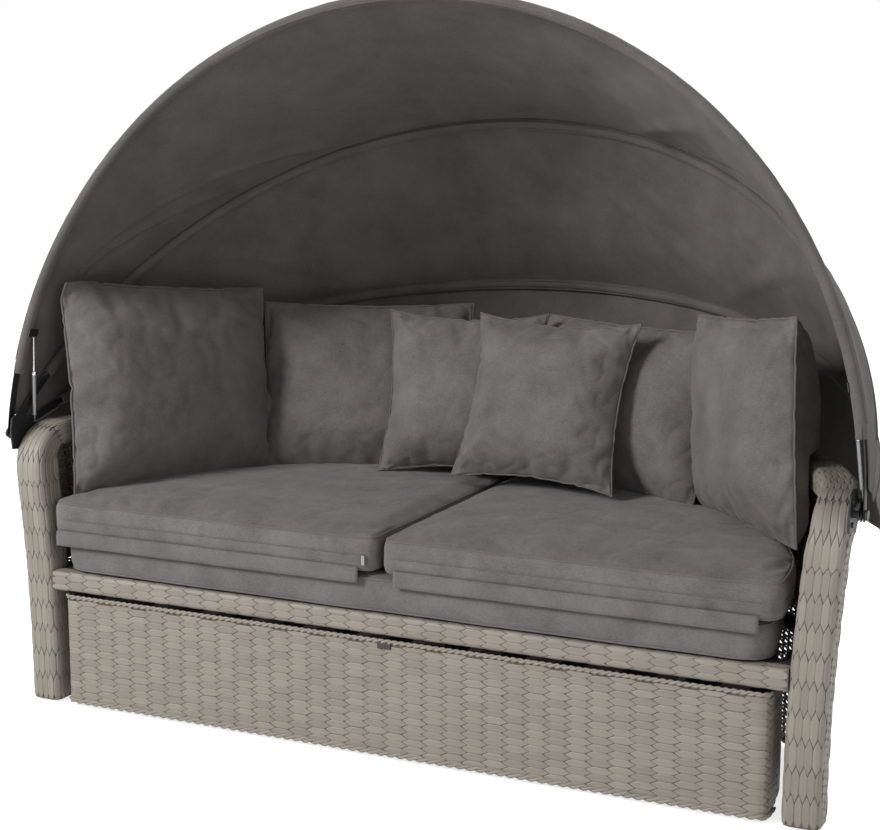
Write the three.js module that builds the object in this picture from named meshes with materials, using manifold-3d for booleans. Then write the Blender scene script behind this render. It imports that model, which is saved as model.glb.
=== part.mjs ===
// Outdoor daybed with a folding canopy and a footstool stored under the seat.
// Millimetres, +Z up, +Y to the back. The origin is under the middle of the whole piece.
import * as THREE from 'three';
import { mergeVertices } from 'three/addons/utils/BufferGeometryUtils.js';
import Module from 'manifold-3d';

const wasm = await Module();
wasm.setup();

// Clearances
const touchGap = 0.4;

// Plan of the seat: a short straight front, then a half ellipse about this line
const planCentreY = 32;

// Arm rim
const rimHalfWidth = 1034;
const rimBack = 866;
const rimWidth = 80;
const rimTop = 695;
const rimThickness = 57;
const rimCornerRadius = 17;
const bendRadius = 120;

// Front legs, which flare out towards the rim
const legDepth = 80;
const legFootHalfWidth = 998;
const flareExponent = 2.2;
const legGlideHeight = 6;
const legGlideRadius = 15;

// Woven walls
const wallHalfWidth = 968;
const wallBack = 800;
const wallFlare = 37;
const wallThickness = 6;
const wallBottom = 8;
const wallSplitAngle = 0.87;
const bendClearance = 3;

// Rear posts
const postSize = 25;
const postClearance = 1.2;
const postAngles = [0.25, 0.5, 0.75].map((turnShare) => turnShare * Math.PI);

// Front rail and seat frame
const railBottom = 293;
const railDepth = 40;
const railSetback = 2;
const railCornerRadius = 8;
const seatFrameTop = 339.6;
const seatFrameThickness = 25;
const frameTube = 32;
const seatSlatCount = 12;
const slatWidth = 60;

// Base pad and seat cushions
const padTop = 430;
const padHalfWidth = 882;
const padFront = 1.8;
const padBack = 804;
const padCornerRadius = 60;
const padEdgeRadius = 26;
const seatCushionHalfWidth = 901;
const seatCushionFront = -5;
const seatCushionBack = 810;
const seatCushionEdgeTop = 520;
const seatCushionSplit = 6;
const seatCushionCorner = 38;
const seatCushionEdgeRadius = 26;
const seatCrown = 15;
const padCentreShare = 0.42;
const seatCentreShare = 0.45;

// Flap strips and zip pull on the seat cushions
const flapThickness = 3;
const flapBottom = 410;
const flapTop = 430;
const flapInnerEnd = 45;
const flapOuterEnd = 880;
const zipPullSize = new THREE.Vector3(8, 3, 22);
const zipPullTop = 476;
const zipPullOffset = 50;

// Large boxed cushions: front base line by its middle, width, height, turn and lean
const boxedBorder = 78;
const largeCushions = {
  left_side_cushion: { x: -768, y: 330, width: 575, height: 490, turn: -26, lean: 9 },
  back_left_cushion: { x: -405, y: 660, width: 545, height: 455, turn: -69, lean: 16 },
  back_right_cushion: { x: 176, y: 652, width: 600, height: 445, turn: -107, lean: 15 },
  right_side_cushion: { x: 704, y: 428, width: 490, height: 475, turn: -138, lean: 3 },
};
const throwThickness = 86;
const throwPillows = {
  throw_pillow_1: { x: -104, y: 606, width: 425, height: 425, turn: -84, lean: 17 },
  throw_pillow_2: { x: 138, y: 508, width: 440, height: 435, turn: -100, lean: 20 },
};
const cushionDropHeight = 660;

// Room for the cushions inside the rim and inside the canopy
const cushionRimGap = 2;
const canopyRoom = 1000;
const canopyRoomShare = 0.95;

// Canopy hoops, all on one pivot a side
const pivotY = 32;
const pivotZ = 671;
const hoopRadius = 1055;
const hoopTubeRadius = 9;
const hoopSides = 10;
const hoopArcSteps = 24;
const tongueLength = 170;
const tongueBlend = 25;
const tongueThickness = 4;
const tongueWidth = 24;
const tongueTail = 14;
const tongueStep = 5;
const tailTaper = 0.8;
const boltReach = 15;
const hoopTilts = { front: 8, middle: 44, rear: 72 };

// Pivot bolts and brackets
const boltRadius = 5;
const boltHoleClearance = 0.5;
const boltHeadRadius = 11;
const boltHeadHeight = 5;
const spacerRadius = 8;
const bracketThickness = 3.5;
const bracketBedding = 0.65;
const bracketPastStud = 10.5;
const bracketScrewRadius = 6;
const bracketScrewHeight = 4;

// Gas struts
const strutFootY = 105;
const strutFootZ = 680;
const strutFootX = 1041.9;
const studRadius = 3;
const eyeRadius = 7;
const eyeWidth = 3.6;
const eyeHoleRadius = 3.6;
const neckRadius = 2.8;
const neckLength = 28;
const tubeRadius = 6;
const tubeTop = 140;
const boreBottom = 34;
const collarRadius = 6.8;
const collarLength = 8;
const rodRadius = 3;
const rodInside = 40;
const rodEyeRadius = 6;
const strutHeadArc = 257;
const strutHeadBehind = 17;
const strutHeadInset = 5;
const mountPlateThickness = 3;
const mountPlateLength = 20;
const mountPlateReach = 25;

// Canopy cloth
const clothThickness = 3;
const clothClearance = 0.7;
const clothSag = 24;
const clothFolds = 11;
const hemTurn = 70;
const tongueWrapShare = 0.4;
const skirtBottomZ = 560;
const skirtFrontY = 175;
const skirtHalfWidth = 1055;
const skirtBack = 940;
const skirtWave = 7;
const skirtWaves = 15;
const skirtTurn = 30;

// Footstool
const stoolHalfWidth = 886;
const stoolBottom = 12;
const stoolTop = 276;
const stoolReturn = 62;
const stoolBack = 742;
const stoolArcSteps = 36;
const stoolCornerRadius = 18;
const stoolPanelThickness = 8;
const stoolWallInset = 6;
const stoolWallThickness = 6;
const stoolWallTop = 270;
const stoolFrameTop = 262;
const stoolFrameThickness = 22;
const stoolSlatCount = 11;
const stoolPostSize = 30;
const stoolGlideRadius = 14;
const stoolPostShares = [[-0.92, 0.09], [0.92, 0.09], [-0.6, 0.76], [0.6, 0.76]];
const tabWidth = 33;
const tabThickness = 4;
const tabDrop = 12;

// Finishes
const wicker = new THREE.MeshStandardMaterial({ color: 0xa39c90, roughness: 0.75, metalness: 0 });
const seatCloth = new THREE.MeshStandardMaterial({ color: 0x6b6765, roughness: 0.95, metalness: 0 });
const canopyCloth = new THREE.MeshStandardMaterial({ color: 0x4e4b49, roughness: 0.9, metalness: 0 });
const darkMetal = new THREE.MeshStandardMaterial({ color: 0x3a3a3a, roughness: 0.5, metalness: 0.6 });
const blackMetal = new THREE.MeshStandardMaterial({ color: 0x161616, roughness: 0.45, metalness: 0.5 });
const brightSteel = new THREE.MeshStandardMaterial({ color: 0xc8c8c8, roughness: 0.25, metalness: 1 });
const darkPlastic = new THREE.MeshStandardMaterial({ color: 0x2b2826, roughness: 0.6, metalness: 0 });

const daybed = new THREE.Group();

function addPiece(name, geometry, material) {
  const mesh = new THREE.Mesh(geometry, material);
  mesh.name = name;
  daybed.add(mesh);
  return mesh;
}

const degrees = (angle) => THREE.MathUtils.degToRad(angle);

function signedVolume(positions, index) {
  const a = new THREE.Vector3();
  const b = new THREE.Vector3();
  const c = new THREE.Vector3();
  let sum = 0;
  for (let i = 0; i < index.length; i += 3) {
    a.fromArray(positions, index[i] * 3);
    b.fromArray(positions, index[i + 1] * 3);
    c.fromArray(positions, index[i + 2] * 3);
    sum += a.dot(b.cross(c));
  }
  return sum;
}

// Builds a geometry from points and triangles, with every face turned outwards
function closedGeometry(points, index) {
  const positions = points.flatMap((point) => [point.x, point.y, point.z]);
  if (signedVolume(positions, index) < 0) {
    for (let i = 0; i < index.length; i += 3) {
      [index[i + 1], index[i + 2]] = [index[i + 2], index[i + 1]];
    }
  }
  const geometry = new THREE.BufferGeometry();
  geometry.setAttribute('position', new THREE.Float32BufferAttribute(positions, 3));
  geometry.setIndex(index);
  geometry.computeVertexNormals();
  return geometry;
}

// Skins over rings of points, with a fan on each end about the given or the mean point
function loft(rings, startTip, endTip) {
  const count = rings[0].length;
  const points = rings.flat();
  const index = [];
  for (let i = 0; i < rings.length - 1; i += 1) {
    for (let j = 0; j < count; j += 1) {
      const next = (j + 1) % count;
      const a = i * count + j;
      const b = i * count + next;
      index.push(a, b, b + count, a, b + count, a + count);
    }
  }
  const lastStart = (rings.length - 1) * count;
  const startIndex = points.push(startTip ?? meanPoint(rings[0])) - 1;
  const endIndex = points.push(endTip ?? meanPoint(rings.at(-1))) - 1;
  for (let j = 0; j < count; j += 1) {
    const next = (j + 1) % count;
    index.push(startIndex, next, j);
    index.push(endIndex, lastStart + j, lastStart + next);
  }
  return closedGeometry(points, index);
}

function meanPoint(ring) {
  const sum = ring.reduce((total, point) => total.add(point), new THREE.Vector3());
  return sum.divideScalar(ring.length);
}

// A thin solid between two grids of points, closed along all four edges
function sheetSolid(outer, inner) {
  const rows = outer.length;
  const columns = outer[0].length;
  const points = [...outer.flat(), ...inner.flat()];
  const offset = rows * columns;
  const index = [];
  const quad = (a, b, c, d) => index.push(a, b, c, a, c, d);
  for (let i = 0; i < rows - 1; i += 1) {
    for (let j = 0; j < columns - 1; j += 1) {
      const a = i * columns + j;
      const d = a + columns;
      quad(a, a + 1, d + 1, d);
      quad(offset + a, offset + d, offset + d + 1, offset + a + 1);
    }
  }
  for (let j = 0; j < columns - 1; j += 1) {
    const low = j;
    const high = (rows - 1) * columns + j;
    quad(low, offset + low, offset + low + 1, low + 1);
    quad(high, high + 1, offset + high + 1, offset + high);
  }
  for (let i = 0; i < rows - 1; i += 1) {
    const left = i * columns;
    const right = left + columns - 1;
    quad(left, left + columns, offset + left + columns, offset + left);
    quad(right, offset + right, offset + right + columns, right + columns);
  }
  return closedGeometry(points, index);
}

// The same solid on the other side of the middle plane
function mirrored(geometry) {
  const copy = geometry.clone();
  copy.scale(-1, 1, 1);
  const index = [...copy.index.array];
  for (let i = 0; i < index.length; i += 3) {
    [index[i + 1], index[i + 2]] = [index[i + 2], index[i + 1]];
  }
  copy.setIndex(index);
  copy.computeVertexNormals();
  return copy;
}

function toSolid(geometry) {
  const bare = geometry.clone();
  bare.deleteAttribute('normal');
  bare.deleteAttribute('uv');
  const merged = mergeVertices(bare);
  return new wasm.Manifold(new wasm.Mesh({
    numProp: 3,
    vertProperties: new Float32Array(merged.attributes.position.array),
    triVerts: new Uint32Array(merged.index.array),
  }));
}

function toGeometry(solid) {
  const mesh = solid.getMesh();
  const geometry = new THREE.BufferGeometry();
  geometry.setAttribute('position', new THREE.Float32BufferAttribute(mesh.vertProperties, 3));
  geometry.setIndex([...mesh.triVerts]);
  geometry.computeVertexNormals();
  return geometry;
}

// A cylinder along X between two places
function crossPin(radius, fromX, toX, y, z, sides = 24) {
  const geometry = new THREE.CylinderGeometry(radius, radius, toX - fromX, sides);
  geometry.rotateZ(Math.PI / 2);
  geometry.translate((fromX + toX) / 2, y, z);
  return geometry;
}

function box(width, depth, height, x, y, z) {
  const geometry = new THREE.BoxGeometry(width, depth, height);
  geometry.translate(x, y, z);
  return geometry;
}

function arcPoints(centreX, centreY, radiusX, radiusY, from, to, steps) {
  return Array.from({ length: steps + 1 }, (_, i) => {
    const angle = from + ((to - from) * i) / steps;
    return new THREE.Vector2(centreX + radiusX * Math.cos(angle), centreY + radiusY * Math.sin(angle));
  });
}

function linePoints(from, to, steps) {
  return Array.from({ length: steps - 1 }, (_, i) => from.clone().lerp(to, (i + 1) / steps));
}

// How far the frame has flared out at a height, as a share of the flare at the rim
const rimBottom = rimTop - rimThickness;
const flareShare = (z) => (Math.min(z, rimBottom) / rimBottom) ** flareExponent;
const legOuterAt = (z) => legFootHalfWidth + (rimHalfWidth - legFootHalfWidth) * flareShare(z);
const legInnerAt = (z) => legOuterAt(z) - rimWidth;

function planPoint(halfWidth, back, angle, z, centreY = planCentreY) {
  return new THREE.Vector3(halfWidth * Math.cos(angle), centreY + back * Math.sin(angle), z);
}

function planNormal(halfWidth, back, angle) {
  return new THREE.Vector3(Math.cos(angle) / halfWidth, Math.sin(angle) / back, 0).normalize();
}

// A ring with rounded corners about a centre, in the plane of two unit directions
function roundedRing(centre, across, out, width, depth, radius) {
  const corners = [[1, 1, 0], [-1, 1, 1], [-1, -1, 2], [1, -1, 3]];
  return corners.flatMap(([sideX, sideY, quarter]) => {
    const steps = 2;
    return Array.from({ length: steps + 1 }, (_, i) => {
      const angle = (quarter + i / steps) * (Math.PI / 2);
      const x = sideX * (width / 2 - radius) + radius * Math.cos(angle);
      const y = sideY * (depth / 2 - radius) + radius * Math.sin(angle);
      return centre.clone().addScaledVector(across, x).addScaledVector(out, y);
    });
  });
}

// Front leg, bend and arm of the right side, up to the joint with the back rail
const rimCentreHalfWidth = rimHalfWidth - rimWidth / 2;
const rimCentreBack = rimBack - rimWidth / 2;
const rimCentreZ = rimTop - rimThickness / 2;

function rimRing(angle) {
  const across = planNormal(rimCentreHalfWidth, rimCentreBack, angle);
  const centre = planPoint(rimCentreHalfWidth, rimCentreBack, angle, rimCentreZ);
  const up = new THREE.Vector3(0, 0, 1);
  return roundedRing(centre, across, up, rimWidth, rimThickness, rimCornerRadius);
}

function armGeometry() {
  const rings = [];
  const front = new THREE.Vector3(0, -1, 0);
  const right = new THREE.Vector3(1, 0, 0);
  const bendStart = rimTop - bendRadius;
  const legSteps = 5;
  const legBottom = legGlideHeight + touchGap;
  for (let i = 0; i < legSteps; i += 1) {
    const z = legBottom + ((bendStart - legBottom) * i) / legSteps;
    const centre = new THREE.Vector3(legOuterAt(z) - rimWidth / 2, legDepth / 2, z);
    rings.push(roundedRing(centre, right, front, rimWidth, legDepth, rimCornerRadius));
  }
  const innerRadius = bendRadius - legDepth;
  const innerStart = rimBottom - innerRadius;
  const bendSteps = 6;
  for (let i = 0; i <= bendSteps; i += 1) {
    const turn = (i / bendSteps) * (Math.PI / 2);
    const outerY = bendRadius - bendRadius * Math.cos(turn);
    const outerZ = bendStart + bendRadius * Math.sin(turn);
    const innerY = bendRadius - innerRadius * Math.cos(turn);
    const innerZ = innerStart + innerRadius * Math.sin(turn);
    const out = new THREE.Vector3(0, outerY - innerY, outerZ - innerZ);
    const depth = out.length();
    out.normalize();
    const y = (outerY + innerY) / 2;
    const planSine = Math.max(0, y - planCentreY) / rimCentreBack;
    const planAngle = Math.asin(planSine);
    const outerX = legOuterAt(outerZ) - rimWidth / 2;
    const centre = new THREE.Vector3(outerX * Math.cos(planAngle), y, (outerZ + innerZ) / 2);
    const across = planNormal(rimCentreHalfWidth, rimCentreBack, planAngle);
    rings.push(roundedRing(centre, across, out, rimWidth, depth, rimCornerRadius));
  }
  const armStart = Math.asin((bendRadius - planCentreY) / rimCentreBack);
  const armEnd = wallSplitAngle - touchGap / rimCentreHalfWidth;
  const armSteps = 8;
  for (let i = 1; i <= armSteps; i += 1) {
    rings.push(rimRing(armStart + ((armEnd - armStart) * i) / armSteps));
  }
  return loft(rings);
}

function buildRim() {
  const arm = armGeometry();
  addPiece('right_arm', arm, wicker);
  addPiece('left_arm', mirrored(arm), wicker);
  const steps = 20;
  const rings = Array.from({ length: steps + 1 }, (_, i) => {
    return rimRing(wallSplitAngle + ((Math.PI - 2 * wallSplitAngle) * i) / steps);
  });
  addPiece('back_rail', loft(rings), wicker);
}

// Woven walls under the rim, standing on the plan curve and flaring out with height
const wallTop = rimBottom - touchGap;
const wallLevelShares = [0, 0.3, 0.55, 0.78, 1];
const wallLevels = wallLevelShares.map((heightShare) => wallBottom + (wallTop - wallBottom) * heightShare);

// Top edge of a wall, which dips under the bend of the arm near the leg
function wallTopAt(y) {
  const innerRadius = bendRadius - legDepth;
  const fromBend = bendRadius - y;
  if (fromBend <= 0) {
    return wallTop;
  }
  const rise = Math.sqrt(Math.max(0, innerRadius ** 2 - fromBend ** 2));
  return rimBottom - innerRadius + rise - bendClearance;
}

function wallSurfacePoint(angle, z, inset) {
  const grow = wallFlare * flareShare(z);
  const point = planPoint(wallHalfWidth + grow, wallBack + grow, angle, z);
  return point.addScaledVector(planNormal(wallHalfWidth, wallBack, angle), -inset);
}

function wallGeometry(angles) {
  const grid = (inset) => wallLevelShares.map((heightShare) => angles.map((angle) => {
    const top = wallTopAt(planCentreY + (wallBack + wallFlare) * Math.sin(angle));
    return wallSurfacePoint(angle, wallBottom + (top - wallBottom) * heightShare, inset);
  }));
  return sheetSolid(grid(0), grid(wallThickness));
}

function evenAngles(from, to, steps) {
  return Array.from({ length: steps + 1 }, (_, i) => from + ((to - from) * i) / steps);
}

function buildWalls() {
  const start = Math.asin((legDepth + 2 * touchGap - planCentreY) / wallBack);
  const bendEnd = Math.asin((bendRadius - planCentreY) / wallBack);
  const sideEnd = wallSplitAngle - touchGap / wallHalfWidth;
  const side = wallGeometry([...evenAngles(start, bendEnd, 4), ...evenAngles(bendEnd, sideEnd, 11).slice(1)]);
  addPiece('right_side_wall', side, wicker);
  addPiece('left_side_wall', mirrored(side), wicker);
  addPiece('back_wall', wallGeometry(evenAngles(wallSplitAngle, Math.PI - wallSplitAngle, 20)), wicker);
}

// Rear posts inside the walls, each on a glide
function buildRearPosts() {
  const setback = wallThickness + postClearance + postSize / 2;
  const bottom = legGlideHeight + touchGap;
  postAngles.forEach((angle, i) => {
    const out = planNormal(wallHalfWidth, wallBack, angle);
    const across = new THREE.Vector3(-out.y, out.x, 0);
    const half = postSize / 2;
    const levels = [bottom, ...wallLevels.slice(1)];
    const rings = levels.map((z) => {
      const centre = wallSurfacePoint(angle, z, setback);
      return [[1, 1], [-1, 1], [-1, -1], [1, -1]].map(([a, b]) => {
        return centre.clone().addScaledVector(across, a * half).addScaledVector(out, b * half);
      });
    });
    addPiece(`rear_post_${i + 1}`, loft(rings), darkMetal);
    const foot = wallSurfacePoint(angle, bottom, setback);
    addPiece(`rear_glide_${i + 1}`, glide(legGlideRadius, legGlideHeight, foot.x, foot.y), darkPlastic);
  });
}

function glide(radius, height, x, y) {
  const geometry = new THREE.CylinderGeometry(radius, radius, height, 20);
  geometry.rotateX(Math.PI / 2);
  geometry.translate(x, y, height / 2);
  return geometry;
}

function buildLegGlides() {
  const x = legFootHalfWidth - rimWidth / 2;
  addPiece('left_leg_glide', glide(legGlideRadius, legGlideHeight, -x, legDepth / 2), darkPlastic);
  addPiece('right_leg_glide', glide(legGlideRadius, legGlideHeight, x, legDepth / 2), darkPlastic);
}

// Front rail between the legs
function buildFrontRail() {
  const height = seatFrameTop - railBottom;
  const length = 2 * (legInnerAt(railBottom) - touchGap);
  const across = new THREE.Vector3(0, 1, 0);
  const up = new THREE.Vector3(0, 0, 1);
  const rings = [-length / 2, length / 2].map((x) => {
    const centre = new THREE.Vector3(x, railSetback + railDepth / 2, railBottom + height / 2);
    return roundedRing(centre, across, up, railDepth, height, railCornerRadius);
  });
  addPiece('front_rail', loft(rings), wicker);
}

// A welded frame: a tube all round a half-round outline, and slats from front to back
function slattedFrame({ outline, halfWidth, front, backAt, slatCount, top, thickness }) {
  const flat = (points, depth) => {
    return new THREE.ExtrudeGeometry(new THREE.Shape(points), { depth, bevelEnabled: false, curveSegments: 1 });
  };
  let frame = toSolid(flat(outline, thickness));
  const inner = halfWidth - frameTube;
  const pitch = (2 * inner + slatWidth) / (slatCount + 1);
  for (let i = 0; i <= slatCount; i += 1) {
    const left = -inner + i * pitch;
    const right = left + pitch - slatWidth;
    const steps = 3;
    const rear = Array.from({ length: steps + 1 }, (_, k) => {
      const x = right + ((left - right) * k) / steps;
      return new THREE.Vector2(x, backAt(x) - frameTube);
    });
    const corners = [new THREE.Vector2(left, front + frameTube), new THREE.Vector2(right, front + frameTube)];
    const hole = flat([...corners, ...rear], 3 * thickness);
    hole.translate(0, 0, -thickness);
    frame = frame.subtract(toSolid(hole));
  }
  const geometry = toGeometry(frame);
  geometry.translate(0, 0, top - thickness);
  return geometry;
}

function buildSeatFrame() {
  const frameBottom = seatFrameTop - seatFrameThickness;
  const setback = wallThickness + postClearance + postSize + touchGap;
  const halfWidth = wallHalfWidth + wallFlare * flareShare(frameBottom) - setback;
  const back = wallBack + wallFlare * flareShare(frameBottom) - setback;
  const front = railSetback + railDepth + touchGap;
  const legFace = legInnerAt(frameBottom) - touchGap;
  const legBack = legDepth + touchGap;
  const from = Math.asin((legBack - planCentreY) / back);
  const outline = [
    new THREE.Vector2(-legFace, legBack),
    new THREE.Vector2(-legFace, front),
    new THREE.Vector2(legFace, front),
    new THREE.Vector2(legFace, legBack),
    ...arcPoints(0, planCentreY, halfWidth, back, from, Math.PI - from, 36),
  ];
  const backAt = (x) => planCentreY + back * Math.sqrt(1 - (x / halfWidth) ** 2);
  const options = { outline, halfWidth: legFace, front, backAt, slatCount: seatSlatCount };
  const frame = slattedFrame({ ...options, top: seatFrameTop, thickness: seatFrameThickness });
  addPiece('seat_frame', frame, darkMetal);
}

// Cushions lofted through their thickness

function insetRing(outline, centre, inset, share, z) {
  return outline.map((point) => {
    const arm = point.clone().sub(centre);
    const scale = share * (1 - inset / arm.length());
    return new THREE.Vector3(centre.x + arm.x * scale, centre.y + arm.y * scale, z);
  });
}

function flatCushion({ outline, centre, bottom, top, edgeRadius, crown, levelShares, crownShares }) {
  const rings = levelShares.map(([insetShare, heightShare]) => {
    const z = bottom + (top - bottom) * heightShare;
    return insetRing(outline, centre, edgeRadius * insetShare, 1, z);
  });
  const topInset = edgeRadius * levelShares.at(-1)[0];
  crownShares.forEach(([widthShare, riseShare]) => {
    rings.push(insetRing(outline, centre, topInset, widthShare, top + crown * riseShare));
  });
  const startTip = new THREE.Vector3(centre.x, centre.y, bottom);
  const endTip = new THREE.Vector3(centre.x, centre.y, top + crown);
  return loft(rings, startTip, endTip);
}

function buildBasePad() {
  const back = padBack - planCentreY;
  const corner = padCornerRadius;
  const cornerX = padHalfWidth - corner;
  const ellipseFrom = Math.asin((padFront + corner - planCentreY) / back);
  const outline = [
    ...linePoints(new THREE.Vector2(-cornerX, padFront), new THREE.Vector2(cornerX, padFront), 8),
    ...arcPoints(cornerX, padFront + corner, corner, corner, -Math.PI / 2, 0, 3).slice(0, -1),
    ...arcPoints(0, planCentreY, padHalfWidth, back, ellipseFrom, Math.PI - ellipseFrom, 18),
    ...arcPoints(-cornerX, padFront + corner, corner, corner, -Math.PI, -Math.PI / 2, 3).slice(1),
  ];
  const levelShares = [[1, 0], [0.3, 0.07], [0, 0.25], [0, 0.75], [0.3, 0.93], [1, 1]];
  const pad = flatCushion({
    outline,
    centre: new THREE.Vector2(0, planCentreY + back * padCentreShare),
    bottom: seatFrameTop + touchGap,
    top: padTop,
    edgeRadius: padEdgeRadius,
    crown: 0,
    levelShares,
    crownShares: [],
  });
  addPiece('base_pad', pad, seatCloth);
}

function buildSeatCushions() {
  const back = seatCushionBack - planCentreY;
  const corner = seatCushionCorner;
  const left = seatCushionSplit / 2;
  const right = seatCushionHalfWidth;
  const front = seatCushionFront;
  const ellipseFrom = Math.asin((front + corner - planCentreY) / back);
  const ellipseTo = Math.acos((left + corner) / right);
  const rearY = planCentreY + back * Math.sin(ellipseTo);
  const quarter = Math.PI / 2;
  const outline = [
    ...arcPoints(right - corner, front + corner, corner, corner, -quarter, 0, 3).slice(0, -1),
    ...arcPoints(0, planCentreY, right, back, ellipseFrom, ellipseTo, 12),
    ...arcPoints(left + corner, rearY - corner, corner, corner, quarter, 2 * quarter, 3).slice(1),
    ...linePoints(new THREE.Vector2(left, rearY - corner), new THREE.Vector2(left, front + corner), 6),
    ...arcPoints(left + corner, front + corner, corner, corner, 2 * quarter, 3 * quarter, 3),
    ...linePoints(new THREE.Vector2(left + corner, front), new THREE.Vector2(right - corner, front), 6),
  ];
  const levelShares = [[1, 0], [0.35, 0.05], [0, 0.22], [0, 0.46], [0.16, 0.51], [0, 0.56], [0, 0.88], [0.3, 1]];
  const cushion = flatCushion({
    outline,
    centre: new THREE.Vector2(right * seatCentreShare, planCentreY + back * padCentreShare),
    bottom: padTop + touchGap,
    top: seatCushionEdgeTop,
    edgeRadius: seatCushionEdgeRadius,
    crown: seatCrown,
    levelShares,
    crownShares: [[0.86, 0.45], [0.55, 0.85]],
  });
  const other = addPiece('left_seat_cushion', mirrored(cushion), seatCloth);
  return [addPiece('right_seat_cushion', cushion, seatCloth), other];
}

function buildSeatTrim() {
  const length = flapOuterEnd - flapInnerEnd;
  const y = padFront - touchGap - flapThickness / 2;
  const z = (flapTop + flapBottom) / 2;
  const x = (flapInnerEnd + flapOuterEnd) / 2;
  const flap = box(length, flapThickness, flapTop - flapBottom, x, y, z);
  addPiece('right_seat_flap', flap, seatCloth);
  addPiece('left_seat_flap', mirrored(flap), seatCloth);
  const pullY = seatCushionFront - touchGap - zipPullSize.y / 2;
  const pullZ = zipPullTop - zipPullSize.z / 2;
  const pull = box(zipPullSize.x, zipPullSize.y, zipPullSize.z, -zipPullOffset, pullY, pullZ);
  addPiece('zip_pull', pull, brightSteel);
}

// Outline of a stuffed cushion: near square, with sides drawn in between the corners
function stuffedOutline(width, height, pointCount) {
  const exponentShare = 0.28;
  const drawnInShare = 0.035;
  return Array.from({ length: pointCount }, (_, i) => {
    const angle = ((i + 0.5) / pointCount) * 2 * Math.PI;
    const cosine = Math.cos(angle);
    const sine = Math.sin(angle);
    const pull = 1 - drawnInShare * Math.cos(2 * angle) ** 2;
    const x = Math.sign(cosine) * Math.abs(cosine) ** exponentShare;
    const y = Math.sign(sine) * Math.abs(sine) ** exponentShare;
    return new THREE.Vector2((x * pull * width) / 2, (y * pull * height) / 2);
  });
}

// Keeps a standing cushion in under the canopy
function tuckUnderCanopy(mesh) {
  const points = mesh.geometry.attributes.position;
  const point = new THREE.Vector3();
  for (let i = 0; i < points.count; i += 1) {
    point.fromBufferAttribute(points, i);
    const fromPivot = Math.hypot(point.y - pivotY, point.z - pivotZ);
    const spread = Math.hypot(point.x, fromPivot / canopyRoomShare);
    if (point.z > rimTop && spread > canopyRoom) {
      const scale = canopyRoom / spread;
      const y = pivotY + (point.y - pivotY) * scale;
      points.setXYZ(i, point.x * scale, y, pivotZ + (point.z - pivotZ) * scale);
    }
  }
}

// The rim and all outside it, which a soft cushion is pressed against and bulges over
function rimSurround() {
  const flat = (halfWidth, back, fromZ, toZ) => {
    const shape = new THREE.Shape(arcPoints(0, planCentreY, halfWidth, back, -Math.PI, Math.PI, 120).slice(1));
    const geometry = new THREE.ExtrudeGeometry(shape, { depth: toZ - fromZ, bevelEnabled: false, curveSegments: 1 });
    geometry.translate(0, 0, fromZ);
    return toSolid(geometry);
  };
  const top = rimTop + touchGap;
  const inset = rimWidth + cushionRimGap;
  const hole = flat(rimHalfWidth - inset, rimBack - inset, -top, 2 * top);
  return flat(2 * rimHalfWidth, 2 * rimBack, 0, top).subtract(hole);
}

function standingCushion(place, depth, sectionShares, tipShares) {
  const pointCount = 28;
  const outline = stuffedOutline(place.width, place.height, pointCount);
  const facing = degrees(place.turn);
  const lean = degrees(place.lean);
  const normal = new THREE.Vector3(Math.cos(facing), Math.sin(facing), 0);
  const across = new THREE.Vector3(-normal.y, normal.x, 0);
  const up = new THREE.Vector3(0, 0, Math.cos(lean)).addScaledVector(normal, -Math.sin(lean));
  const behind = new THREE.Vector3().crossVectors(across, up);
  if (behind.dot(normal) > 0) {
    behind.negate();
  }
  const base = new THREE.Vector3(place.x, place.y, cushionDropHeight);
  const put = (x, y, deep) => base.clone()
    .addScaledVector(across, x)
    .addScaledVector(up, y + place.height / 2)
    .addScaledVector(behind, deep);
  const rings = sectionShares.map(([widthShare, depthShare]) => {
    return outline.map((point) => put(point.x * widthShare, point.y * widthShare, depth * depthShare));
  });
  const tips = tipShares.map((depthShare) => put(0, 0, depth * depthShare));
  return loft(rings, tips[0], tips[1]);
}

// Lets a cushion down until it rests on the seat cushions
function settle(mesh, seats) {
  const caster = new THREE.Raycaster();
  const down = new THREE.Vector3(0, 0, -1);
  const up = new THREE.Vector3(0, 0, 1);
  const vertex = new THREE.Vector3();
  let fall = Infinity;
  const measure = (from, direction, targets) => {
    caster.set(from, direction);
    const hit = caster.intersectObjects(targets)[0];
    if (hit) {
      fall = Math.min(fall, hit.distance);
    }
  };
  const points = mesh.geometry.attributes.position;
  for (let i = 0; i < points.count; i += 1) {
    measure(vertex.fromBufferAttribute(points, i), down, seats);
  }
  for (const seat of seats) {
    const seatPoints = seat.geometry.attributes.position;
    for (let i = 0; i < seatPoints.count; i += 1) {
      measure(vertex.fromBufferAttribute(seatPoints, i), up, [mesh]);
    }
  }
  mesh.geometry.translate(0, 0, touchGap - fall);
}

function addPillow(name, geometry, seats, surround) {
  const pillow = addPiece(name, geometry, seatCloth);
  settle(pillow, seats);
  tuckUnderCanopy(pillow);
  const seatSolids = seats.map((seat) => toSolid(seat.geometry));
  const sunk = () => seatSolids.some((seat) => toSolid(pillow.geometry).intersect(seat).volume() > 0);
  while (sunk()) {
    pillow.geometry.translate(0, 0, touchGap);
  }
  pillow.geometry = toGeometry(toSolid(pillow.geometry).subtract(surround));
}

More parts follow.
